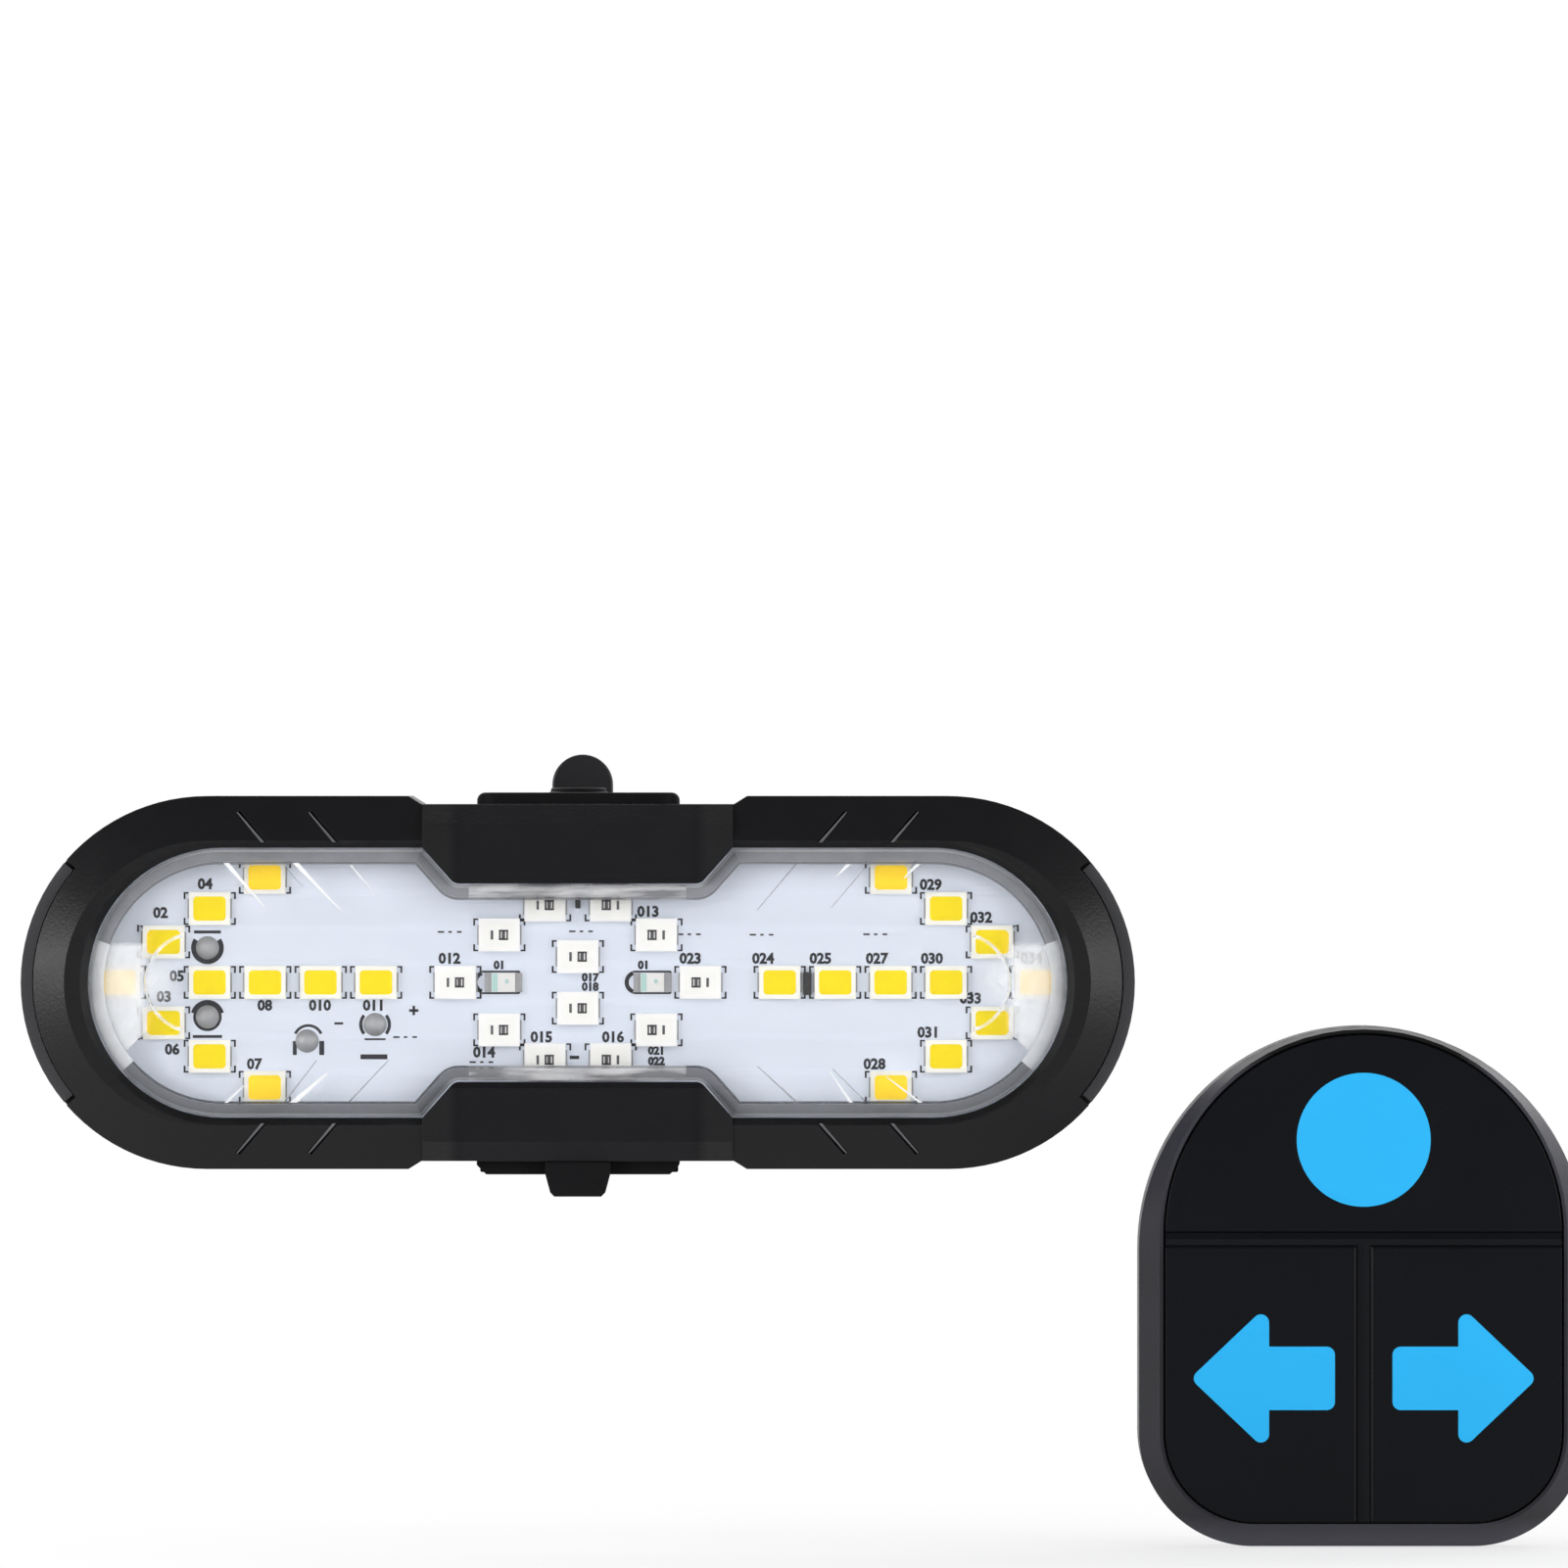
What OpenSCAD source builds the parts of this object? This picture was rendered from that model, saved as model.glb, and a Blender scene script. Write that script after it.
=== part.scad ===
// Bicycle turn signal light for a seat post, with its wireless handlebar remote.
// Millimetres. +Z runs up the seat post, the lamp faces -Y, and the origin is on the post's axis
// at the height of the strap. The lamp and the remote are each drawn lying on their backs,
// X across the face, Y up the face and Z out of the face, and are then stood up.

/* [Lamp body] */
// Width of the lamp over its round ends
lamp_w = 95; // [92:0.5:104]
// Height of the lamp
lamp_h = 31.8; // [31.4:0.2:36]
// Depth from the bezel's face to the rear edge of the housing
body_depth = 20.5; // [19.5:0.5:26]
// Wall of the housing at its shoulders
wall = 1.8; // [1.4:0.1:2.2]
// Rise of the side panels and flats above the shoulders
panel_rise = 0.9; // [0.5:0.1:1.2]
// Half angle of a side panel about the centre of its round end
panel_angle = 40; // [32:1:44]
// Width of a side panel's rim seen past the bezel
panel_show = 1.1; // [0.8:0.1:1.4]
// How far a side panel reaches forward beside the bezel
panel_reach = 1.2; // [0.6:0.1:1.6]
// How far the raised flats run past the centres of the round ends
flat_over = 3.6; // [2:0.1:5]
// Depth of the waist recess on the top and the bottom
waist_step = 0.7; // [0.4:0.1:0.9]
// Width of the waist recess
waist_w = 26.6; // [25:0.2:30]

/* [Bezel] */
// Width of the bezel's face from the window to the outside
bezel_face = 4.4; // [4.2:0.1:5]
// How far the window's round ends are centred inside the lamp's
window_in = 1.4; // [0.5:0.1:2]
// Depth of the bezel
bezel_depth = 4; // [3.8:0.1:5]
// Fall of the bezel's sloped face
bezel_fall = 2.4; // [1.6:0.1:2.6]
// Width of the chamfer round the window
window_chamfer = 0.6; // [0.3:0.1:0.9]
// How far each waist bar stands into the window
bar_reach = 3.05; // [2:0.05:3.6]
// Width of a waist bar along its inner edge
bar_w = 21; // [18:0.1:23]
// Widening of a waist bar on each side, up to the window's edge
bar_flare = 2.7; // [2:0.1:3]
// Radius of a waist bar's two inner corners
bar_corner = 0.9; // [0.4:0.1:1.4]
// Chamfer along the outer edge of a waist bar
bar_chamfer = 1.7; // [1:0.1:2]
// Distance from the centre of a round end in to the first slanted groove
groove_in = 3.8; // [3:0.1:6]
// Pitch of the slanted grooves
groove_pitch = 6.1; // [4.5:0.1:7]
// Slant of the grooves
groove_angle = 54; // [40:1:60]
// Length of a groove on the bezel
groove_len = 3.9; // [2:0.1:4.5]
// Width of a groove on the bezel
groove_w = 0.45; // [0.3:0.05:0.8]
// Depth of a groove on the bezel
groove_depth = 0.3; // [0.15:0.05:0.5]

/* [Lens] */
// Depth of the lens's face behind the bezel's face
lens_recess = 0.8; // [0.5:0.1:1.1]
// Thickness of the lens
lens_t = 1.6; // [1.4:0.1:1.9]
// Width of the bevel round the lens
lens_bevel = 1.3; // [0.8:0.1:1.8]
// Fall of the bevel round the lens
lens_bevel_fall = 0.7; // [0.4:0.1:0.8]
// Depth of the lip that holds the lens's flange
lens_lip = 1.7; // [1.6:0.1:1.9]
// Width of the flange behind the bezel
flange_w = 1.5; // [1:0.1:1.6]
// Thickness of the flange
flange_t = 1.1; // [0.8:0.1:1.3]
// Gap round the lens
lens_clear = 0.1; // [0.05:0.01:0.2]
// Radius at which the scoop in each end of the lens begins
scoop_r = 4.4; // [3.5:0.1:5]
// Half angle of a scoop
scoop_angle = 46; // [30:1:60]
// Depth of a scoop at the end of the lens
scoop_depth = 0.6; // [0.3:0.1:0.8]
// Half angle of the moulded line inside a scoop
scoop_line_angle = 75; // [50:1:85]
// Width of a slanted step on the lens
stripe_w = 4.2; // [3:0.1:5]
// Depth of a slanted step on the lens
stripe_depth = 0.25; // [0.1:0.05:0.4]
// Length of the slanted steps, measured down from the window's edge
stripe_len = 5.1; // [3:0.1:7]

/* [LED board] */
// Thickness of the board
board_t = 1.2; // [0.8:0.1:1.6]
// How far the board's edge lies outside the window
board_over = 0.6; // [0.4:0.1:0.8]
// Gap round the board
board_clear = 0.15; // [0.1:0.05:0.25]
// Width of the ledge behind the board
ledge_w = 1.1; // [0.8:0.1:1.5]
// Thickness of the ledge behind the board
ledge_t = 1.2; // [0.8:0.1:1.6]
// Width of an LED package
led_w = 3.5; // [3:0.1:4]
// Height of an LED package
led_h = 2.8; // [2.4:0.1:3]
// Thickness of an LED package
led_t = 0.7; // [0.6:0.05:0.8]
// Width of the wall round an LED's cup
led_wall = 0.36; // [0.3:0.02:0.6]
// Depth of an LED's cup
led_cup = 0.3; // [0.2:0.05:0.4]
// Pitch of the LEDs along an arrow's shaft
shaft_pitch = 4.73; // [4.5:0.01:4.9]

/* [Power button] */
// Width of the button
button_w = 17.3; // [15:0.1:19]
// Length of the button along the lamp's depth
button_l = 7.4; // [6.5:0.1:9]
// Depth of the button's front edge behind the bezel's face
button_front = 4.9; // [4.7:0.1:6]
// Height of the button above the waist
button_rise = 1; // [0.9:0.1:1.4]
// Radius of the rounding along the button's two ends
button_edge = 0.7; // [0.4:0.1:0.9]
// Thickness of the button's cap
button_t = 2.3; // [2:0.1:2.6]
// Diameter of the raised sign on the button
sign_d = 4.75; // [4:0.05:5.5]
// Height of the raised sign
sign_rise = 0.4; // [0.2:0.05:0.5]
// Travel of the button
button_travel = 0.7; // [0.4:0.1:0.8]
// Gap round the button
button_clear = 0.2; // [0.15:0.05:0.3]

/* [Charging port] */
// Width of the port cover
cover_w = 17.3; // [15:0.1:19]
// Length of the port cover along the lamp's depth
cover_l = 8; // [7:0.1:9]
// Thickness of the port cover
cover_t = 1.15; // [1:0.05:1.5]
// Width of the pull tab at its root
tab_w = 5.5; // [4:0.1:7]
// Height of the pull tab below the port cover
tab_drop = 1.85; // [1.2:0.05:2.5]
// Chamfer on the pull tab's lower corners
tab_corner = 0.35; // [0.2:0.05:0.6]
// Thickness of the pull tab
tab_t = 2.2; // [1.6:0.1:2.6]
// Width of the charging socket's shell
socket_w = 8.94; // [7.5:0.02:9.4]
// Height of the charging socket's shell
socket_h = 3.26; // [2.8:0.02:3.4]
// Length of the charging socket
socket_l = 7.3; // [6.5:0.1:8]
// Gap round the plug on the port cover, which tips as the cover opens
plug_clear = 0.55; // [0.5:0.05:0.7]

/* [Inside the lamp] */
// Length of the battery
battery_l = 44; // [36:0.5:46]
// Height of the battery
battery_h = 19; // [16:0.5:20]
// Thickness of the battery
battery_t = 8; // [6:0.5:9]
// Thickness of the foam pad behind the battery
foam_t = 1; // [0.5:0.1:2]
// Radius of the buzzer
buzzer_r = 6; // [5:0.1:7]
// Height of the buzzer
buzzer_h = 8.5; // [5:0.1:9]
// Radius of a battery lead
lead_r = 0.6; // [0.4:0.05:0.7]

/* [Rear cover and shoe] */
// Depth of the rear cover behind the housing
cover_rise = 5.5; // [4.5:0.5:8]
// Radius of the rear cover's flat back
cover_r = 11.2; // [10:0.1:12]
// Wall of the rear cover
cover_wall = 2; // [1.6:0.1:2.6]
// Radius of a screw boss
boss_r = 2.3; // [2.1:0.1:2.6]
// Radius of a screw's thread
screw_r = 0.95; // [0.8:0.05:1.1]
// Radius of a screw's head
screw_head_r = 1.8; // [1.6:0.1:1.9]
// Height of a screw's head
screw_head_h = 1.2; // [1:0.1:1.5]
// Width of the shoe's head
shoe_w = 15; // [13:0.5:16]
// Thickness of the shoe's head
shoe_t = 3; // [2.4:0.1:4]
// Width of the shoe's neck
neck_w = 9; // [7:0.5:10]
// Length of the shoe up the post
shoe_l = 18; // [16:0.5:20]
// Gap round the shoe in its channel
shoe_clear = 0.15; // [0.1:0.05:0.25]

/* [Post bracket] */
// Radius of the seat post
post_r = 15.8; // [13.6:0.1:17.5]
// Thickness of the rubber saddle pad
pad_t = 1.8; // [1.2:0.1:2.5]
// Height of the bracket up the post
bracket_h = 22; // [21.5:0.5:26]
// Web between the saddle and the latch slot
bracket_web = 4.6; // [3.5:0.1:7]
// Half width of the saddle
saddle_half = 10.8; // [9.5:0.1:11]
// Lips of the channel that hold the shoe
lip_t = 2.2; // [1.8:0.1:3]
// Wall of the channel beside and behind the shoe
channel_wall = 2.5; // [2:0.1:3.5]
// Gap between the rear cover and the bracket
cover_gap = 0.8; // [0.4:0.1:1.5]
// Thickness of the bracket's ears above and below the rubber strap
post_ear_t = 2.7; // [2.4:0.1:4]
// Thickness of the rubber strap
strap_t = 2.2; // [1.6:0.1:2.6]
// Angle of each strap pin from the front of the post
pin_angle = 53; // [51:1:60]
// Distance of a strap pin's axis from the post
pin_out = 3.8; // [3.7:0.1:4.5]
// Radius of a strap pin
pin_r = 1.5; // [1.2:0.1:1.7]
// Radius of the eye at each end of the strap
eye_r = 3.2; // [2.8:0.1:3.4]
// Gap between the strap and the bracket
strap_clear = 0.3; // [0.2:0.05:0.5]

/* [Release latch] */
// Width of the latch
latch_w = 5.3; // [4.5:0.1:6.5]
// Thickness of the latch's blade
latch_t = 2.2; // [1.8:0.1:2.8]
// Height of the latch's top above the lamp's middle
latch_top = 19.5; // [18:0.1:22]
// Height of the latch's pin above the lamp's middle
latch_z = 1; // [0:0.1:2]
// Length of the slot that the latch swings in
slot_l = 8; // [7.6:0.1:10]
// Radius of the latch's pin
latch_pin_r = 1.2; // [1:0.1:1.4]
// Radius of the latch's hub
hub_r = 2.5; // [2.2:0.1:2.6]
// How far the hook lies over the shoe
hook_over = 1.2; // [0.8:0.1:1.5]
// Thickness of the hook
hook_t = 2.2; // [1.6:0.1:3]
// Gap between the latch and what is beside it
latch_clear = 0.25; // [0.15:0.05:0.4]
// Play of the latch on its pin
latch_play = 0.05; // [0.03:0.01:0.1]
// Radius of the latch spring's coil
spring_r = 1.4; // [1:0.1:1.8]
// Diameter of the latch spring's wire
spring_wire = 0.4; // [0.3:0.05:0.5]
// Turns of the latch spring
spring_turns = 4; // [3:1:5]

/* [Remote case] */
// Width of the remote
remote_w = 38.1; // [36:0.1:44]
// Height of the remote
remote_h = 44.3; // [42:0.1:52]
// Depth of the remote's case, from its keys to its rear face
remote_d = 11.5; // [10.6:0.1:16]
// Radius of the remote's lower corners
remote_corner = 9.7; // [8:0.1:12]
// Width of the rim beside the keys
rim_w = 2; // [1.6:0.1:2.6]
// Width of the rim above the keys
rim_top = 0.5; // [0.4:0.1:1.2]
// Depth of the rim's slope
rim_fall = 2.8; // [2:0.1:4]
// Thickness of the remote's rear case
rear_t = 1.8; // [1.4:0.1:2.6]
// Distance of the remote's middle to the right of the lamp's
remote_x = 66.9; // [64:0.1:90]
// Height of the round top's centre below the lamp's middle
remote_down = 22.8; // [20:0.1:40]

/* [Remote keys] */
// Thickness of a key
key_t = 1.6; // [1.4:0.1:2]
// Travel of a key
key_travel = 0.5; // [0.3:0.05:0.6]
// Gap round a key
key_clear = 0.2; // [0.15:0.05:0.3]
// Height of the split under the round key, above the centre of the round top
split_up = 1; // [-2:0.1:3]
// Chamfer along the splits between the keys
split_chamfer = 0.55; // [0.3:0.05:0.8]
// Diameter of the round sign
round_sign_d = 11.4; // [9:0.1:14]
// Height of the round sign's centre above the centre of the round top
round_sign_up = 9.45; // [8.5:0.05:11]
// Length of an arrow sign
arrow_l = 12; // [10:0.1:13]
// Length of an arrow's head
arrow_head_l = 6.4; // [5:0.1:7]
// Height of an arrow's head
arrow_head_h = 10.9; // [8:0.1:12]
// Height of an arrow's shaft
arrow_shaft_h = 5.4; // [4:0.1:6]
// Gap between an arrow's tail and the remote's middle
arrow_in = 2.45; // [1.5:0.05:3]
// Depth of the arrows below the centre of the round top
arrow_down = 10.85; // [9:0.05:12]
// Corner radius of an arrow sign
arrow_corner = 0.7; // [0.4:0.05:1]
// Thickness of the sign inlays
inlay_t = 0.5; // [0.3:0.05:0.8]

/* [Inside the remote] */
// Thickness of the key mat
mat_t = 0.8; // [0.6:0.1:1.2]
// Radius of a dome on the key mat
dome_r = 3; // [2:0.1:4]
// Thickness of the remote's board
remote_board_t = 1; // [0.8:0.1:1.2]
// Radius of the coin cell
cell_r = 10; // [8:0.1:10.5]
// Thickness of the coin cell
cell_t = 3.2; // [2.5:0.1:3.4]
// Thickness of the cell clip's strip
clip_t = 0.4; // [0.3:0.05:0.5]

/* [Handlebar saddle] */
// Radius of the handlebar
bar_r = 11.1; // [11:0.1:13]
// Thickness of the handlebar pad
bar_pad_t = 1.5; // [1:0.1:2]
// Web between the handlebar pad and the rear case
bar_web = 1.8; // [1.2:0.1:3]
// Half width of the handlebar saddle
bar_saddle_half = 7.4; // [6:0.1:7.6]
// Width of the handlebar strap
bar_strap_w = 12; // [10:0.5:14]
// Thickness of the handlebar strap
bar_strap_t = 1.8; // [1.4:0.1:2.2]
// Thickness of the ears beside each strap
ear_t = 2.5; // [2:0.1:3]

/* [Hidden] */
$fn = 64;
// Overlap that carries a cut clear of a face
over = 1;
// Overlap that joins two shapes of one solid
join = 0.2;
// Small running clearance of a pin in its ears
pin_clear = 0.02;

// Lamp outline
end_r = lamp_h / 2;
end_x = (lamp_w - lamp_h) / 2;
window_r = end_r - bezel_face;
window_x = end_x - window_in;
waist_y = end_r - waist_step;
waist_slope = 1.6 * waist_step;
shoulder_r = end_r - panel_rise;
cavity_r = shoulder_r - wall;
panel_gap_angle = 1.2;
panel_clear = 0.1;

// Bezel and lens
slope_angle = atan2(bezel_fall, bezel_face - window_chamfer);
window_chamfer_fall = 1.3 * window_chamfer;
bar_y = window_r - bar_reach;
bar_edge = 0.5;
corner_steps = 8;
groove_y = end_r - (bezel_face - window_chamfer) * 0.7;
groove_z = -bezel_fall * 0.3;
lens_r = window_r - lens_clear;
flange_r = window_r + flange_w;
lens_back = lens_recess + lens_t;
flange_back = lens_lip + flange_t;
pocket_in = 1;
scoop_out = 1;
scoop_line_r = scoop_r - 0.1;
scoop_line_w = 0.3;
scoop_line_depth = 0.2;
scoop_fall = scoop_depth * (lens_r - scoop_r) / (lens_r - window_in - scoop_out - scoop_r);
gasket_w = 0.7;

// Board, from front to back
board_r = window_r + board_over;
board_back = bezel_depth + board_t;
ledge_back = board_back + ledge_t;
led_top = bezel_depth - led_t;

// Arrow LEDs, from the centre of the round end: along the lamp, up the lamp
arrow_barbs = [[7.4, 0], [3.7, 3.45], [-0.2, 6.3], [-4.9, 8.95]];
shaft_from = -0.2;
shaft_count = 4;
// Rear LEDs in one quarter of the board's middle
rear_leds = [[10.45, 0], [6.7, 4.05], [2.8, 6.6], [0, 2.2]];
indicator_x = 6.35;
indicator_size = [3.2, 1.6, 0.8];
indicator_end = 0.6;

// Solder joints on the left of the board: buzzer pins and battery leads
buzzer_pin_up = 2.95;
lead_plus = [-17.3, -3.6];
lead_minus = [-23.1, -5];
solder_r = 1;
solder_h = 0.55;
solder_sphere = (solder_r * solder_r + solder_h * solder_h) / (2 * solder_h);
buzzer_pin_r = 0.35;
buzzer_vent = 1;
hole_clear = 0.05;
wire_hole_r = lead_r + hole_clear;

// Power button, its well and its switch
button_mid = button_front + button_l / 2;
button_corner = 1.8;
button_bottom = waist_y + button_rise - button_t;
press_gap = 0.2;
well_floor = button_bottom - button_travel - press_gap;
well_floor_t = 1.4;
well_wall = 1.4;
well_w = button_w + 2 * button_clear + 2 * well_wall;
well_back = button_front + button_l + button_clear + well_wall;
plunger_size = [4, 2];
switch_size = [6, 3.5, 3.6];
switch_depth = board_back + switch_size[2] / 2;
switch_cap_r = 0.9;
switch_cap_h = 0.7;
switch_gap = 0.6;
switch_top = well_floor - well_floor_t - switch_gap;
plunger_gap = 0.1;
plunger_bottom = switch_top + switch_cap_h + button_travel + plunger_gap;
sign_line = 0.7;
sign_break = 1.9;

// Charging port and its cover
cover_front = bezel_depth + 0.3;
plate_gap = 0.05;
hinge_depth = cover_front + cover_l - cover_t / 2;
hinge_y = -(waist_y + cover_t / 2 + plate_gap);
hinge_r = cover_t / 2;
tab_front = cover_front - tab_t + join;
tab_taper = 0.4;
tab_end = tab_w / 2 - tab_taper;
port_depth = board_back + socket_h / 2;
plug_size = [socket_w - 1.4, socket_h - 1];
plug_corner = plug_size[1] / 2 - 0.1;
plug_h = 1.6;
plug_gap = 0.5;
socket_mouth = waist_y - plug_h - plug_gap;
socket_wall = 0.3;
socket_corner = socket_h / 2 - 0.1;
socket_back_t = 1;
tongue_in = 0.8;
tongue_size = [0.7 * socket_w, 0.7];
port_cut_up = 3;
anchor_l = 1.8;
anchor_gap = 0.15;
anchor_sink = 1;
anchor_depth = hinge_depth + hinge_r + anchor_gap + anchor_l / 2;

// Rear cover
cover_back = body_depth + cover_rise;
rear_step = 0.3;
rear_r = shoulder_r - rear_step;
spigot_l = 2;
spigot_wall = 1.2;
spigot_clear = 0.15;
boss_angle = 66;
boss_ring = cavity_r - boss_r + 2 * join;
boss_gap = 0.3;
cover_boss_r = boss_r + 0.6;
screw_seat = body_depth + 1.4;
screw_l = 7;
screw_clear = 0.15;
socket_key_r = 0.9;
socket_key_d = 0.7;
// Battery, set to the right of its leads
battery_x0 = -13.8;
battery_corner = 2;
foam_in = [6, 5];
battery_back = cover_back - cover_wall - foam_t;
battery_front = battery_back - battery_t;
lead_bend = 2;
lead_depth = battery_front + battery_t / 2;

// Bracket, from the post forward
saddle_r = post_r + pad_t;
slot_back_y = -(saddle_r + bracket_web);
slot_front_y = slot_back_y - slot_l;
channel_back_y = slot_front_y - channel_wall;
lip_back_y = channel_back_y - shoe_t - 2 * shoe_clear;
block_front_y = lip_back_y - lip_t;
lamp_y = block_front_y - cover_gap - cover_back;
neck_t = cover_gap + lip_t + shoe_clear;
block_w = shoe_w + 2 * shoe_clear + 2 * channel_wall;
strap_w = bracket_h - 2 * post_ear_t - 2 * strap_clear;
ear_r = 3.4;
eye_lap = 4;
hook_mouth = 2.6;
mouth_angle = -35;

// Latch
latch_y = slot_front_y + hub_r + latch_clear;
hook_z = shoe_l / 2 + latch_clear;
nose_y = channel_back_y - shoe_clear - hook_over;
latch_pin_l = 2 * saddle_half - 3;
spring_down = 4.8;
spring_z = bracket_h / 2 - spring_down;
spring_front = latch_y + latch_t / 2;
spring_gap = 0.05;
spring_rings = 8;
spring_sides = 6;

// Remote, from front to back
remote_r = remote_w / 2;
remote_bottom = remote_r - remote_h;
face_r = remote_r - rim_w;
face_up = rim_w - rim_top;
face_bottom = remote_bottom + rim_w;
face_corner = remote_corner - rim_w;
rim_front = 0.25;
rim_edge = 0.3;
stop_gap = 0.05;
key_stop = key_t + key_travel + stop_gap;
stop_t = 0.6;
stop_in = 1.3;
mat_front = key_stop + stop_t;
mat_back = mat_front + mat_t;
remote_board_back = mat_back + remote_board_t;
mat_clear = 0.15;
dome_gap = 0.1;
dome_top = key_t + key_travel + dome_gap;
cell_gap = 0.1;
cell_front = remote_board_back + clip_t + cell_gap;
cell_y = -4.5;
cell_step = [1, 0.25 * cell_t];
clip_w = 5;
clip_up = 0.7 * cell_t;
clip_clear = 0.05;
case_back = remote_d - rear_t;
rear_rise = 1;
cavity_in = 0.6;
remote_boss_r = 2;
boss_join = 0.5;
remote_boss_ring = face_r - cavity_in - remote_boss_r + boss_join;
remote_boss_angle = 35;
remote_boss_low = -12;
remote_boss_at = [
    [remote_boss_ring * cos(remote_boss_angle), face_up + remote_boss_ring * sin(remote_boss_angle)],
    [remote_boss_ring, remote_boss_low]
];
remote_seat_t = 0.5;
remote_screw_seat = case_back + remote_seat_t;
remote_screw_start = remote_board_back + 0.8;
remote_screw_l = 4;
spigot_h = 1.2;
bar_depth = remote_d + bar_web + bar_pad_t + bar_r;
bar_y_pos = -4.5;
bar_pin_out = 3.3;
bar_pin_r = 1.2;
bar_eye_r = 2.7;
bar_ear_r = 2.8;
bar_pin_angle = 55;
bar_core_h = bar_strap_w + 2 * strap_clear + 2 * ear_t;

black = [0.10, 0.10, 0.11];
dark = [0.16, 0.16, 0.17];
rubber = [0.13, 0.13, 0.14];
steel = [0.72, 0.73, 0.75];
white = [0.93, 0.94, 0.97];
amber = [1, 0.78, 0.12];
blue = [0.21, 0.71, 0.97];

// Stands the lamp up in front of the post
module lamp_frame() translate([0, lamp_y, 0]) rotate([90, 0, 0]) children();

// Stands the remote up beside the lamp, its keys level with the bezel's face
module remote_frame() translate([remote_x, lamp_y, -remote_down]) rotate([90, 0, 0]) children();

// Extrudes an outline between two depths behind the face
module layer(from, to) translate([0, 0, -to]) linear_extrude(to - from) children();

// Capsule outline, with its round ends centred at +x and -x
module capsule(r, x = end_x) {
    square([2 * x, 2 * r], center = true);
    for (side = [-1, 1]) translate([side * x, 0]) circle(r);
}

// Sweeps a profile of [radius, -depth] round the capsule
module capsule_sweep(x = end_x) {
    for (turn = [0, 180]) rotate(turn) {
        translate([x, 0, 0]) rotate(-90) rotate_extrude(angle = 180) children();
        translate([-x, 0, 0]) rotate([90, 0, 90]) linear_extrude(2 * x) children();
    }
}

// Extrudes a profile of [height, -depth] across the lamp
module across(w) translate([-w / 2, 0, 0]) rotate([90, 0, 90]) linear_extrude(w) children();

// Repeats for both round ends, with +X outwards from the centre of the end
module both_ends() for (turn = [0, 180]) rotate(turn) translate([end_x, 0, 0]) children();

// Repeats in all four quarters of the lamp's face
module quarters() for (flip_x = [0, 1], flip_y = [0, 1])
    mirror([flip_x, 0, 0]) mirror([0, flip_y, 0]) children();

// Wedge that opens towards +X
module wedge(half_angle, reach) {
    x = reach * cos(half_angle);
    y = reach * sin(half_angle);
    polygon([[0, 0], [x, -y], [x, y]]);
}

module rounded_rect(w, h, r) {
    square([w - 2 * r, h], center = true);
    square([w, h - 2 * r], center = true);
    for (x = [-1, 1], y = [-1, 1]) translate([x * (w / 2 - r), y * (h / 2 - r)]) circle(r);
}

// Waist recess outline at the top and the bottom
module waist() for (flip = [0, 1]) mirror([0, flip]) polygon([
    [-waist_w / 2, waist_y], [waist_w / 2, waist_y],
    [waist_w / 2 + 2 * waist_slope, waist_y + 2 * waist_step],
    [-waist_w / 2 - 2 * waist_slope, waist_y + 2 * waist_step]
]);

// Points of the arc that rounds a corner at c, between the lines to a and to b
function rounded_corner(a, c, b, r) = let(
    u = (a - c) / norm(a - c),
    v = (b - c) / norm(b - c),
    half = acos(u * v) / 2,
    mid = c + r / sin(half) * (u + v) / norm(u + v),
    s = c + r / tan(half) * u - mid,
    e = c + r / tan(half) * v - mid,
    turn = atan2(s[0] * e[1] - s[1] * e[0], s * e)
) [for (k = [0 : corner_steps]) let(t = turn * k / corner_steps)
    mid + [cos(t) * s[0] - sin(t) * s[1], sin(t) * s[0] + cos(t) * s[1]]];

// Both inner corners of a waist bar, from its left root to its right root
function bar_corners(root, inner, r) = concat(
    rounded_corner([-root[0], root[1]], [-inner[0], inner[1]], inner, r),
    rounded_corner([-inner[0], inner[1]], inner, root, r)
);

// Notch that a waist bar makes in the window, widened by a margin
function notch(margin) = let(
    slant = atan2(bar_reach, bar_flare),
    x0 = bar_w / 2 + margin * tan(slant / 2),
    y0 = bar_y - margin,
    y1 = window_r + 3,
    x1 = x0 + (y1 - y0) / tan(slant)
) concat([[-x1, y1]], bar_corners([x1, y1], [x0, y0], bar_corner + margin), [[x1, y1]]);

function screw_places() = [
    for (end = [0, 180], side = [-1, 1])
        [(end == 0 ? 1 : -1) * (end_x + boss_ring * cos(boss_angle)), side * boss_ring * sin(boss_angle)]
];

function arrow_places() = concat(
    [for (end = [-1, 1]) [end * (end_x + arrow_barbs[0][0]), 0]],
    [for (end = [-1, 1], side = [-1, 1], k = [1 : len(arrow_barbs) - 1])
        [end * (end_x + arrow_barbs[k][0]), side * arrow_barbs[k][1]]],
    [for (end = [-1, 1], k = [0 : shaft_count - 1]) [end * (end_x + shaft_from - k * shaft_pitch), 0]]
);

function rear_places() = concat(
    [for (end = [-1, 1]) [end * rear_leds[0][0], 0]],
    [for (end = [-1, 1], side = [-1, 1], k = [1, 2]) [end * rear_leds[k][0], side * rear_leds[k][1]]],
    [for (side = [-1, 1]) [0, side * rear_leds[3][1]]]
);

function solder_places() = [
    [-end_x, buzzer_pin_up], [-end_x, -buzzer_pin_up], lead_plus, lead_minus
];

module bar_side() polygon([
    [bar_y, -bezel_depth], [bar_y, -bar_edge], [bar_y + bar_edge, 0], [waist_y - bar_chamfer, 0],
    [waist_y, -bar_chamfer], [waist_y, -bezel_depth]
]);

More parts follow.
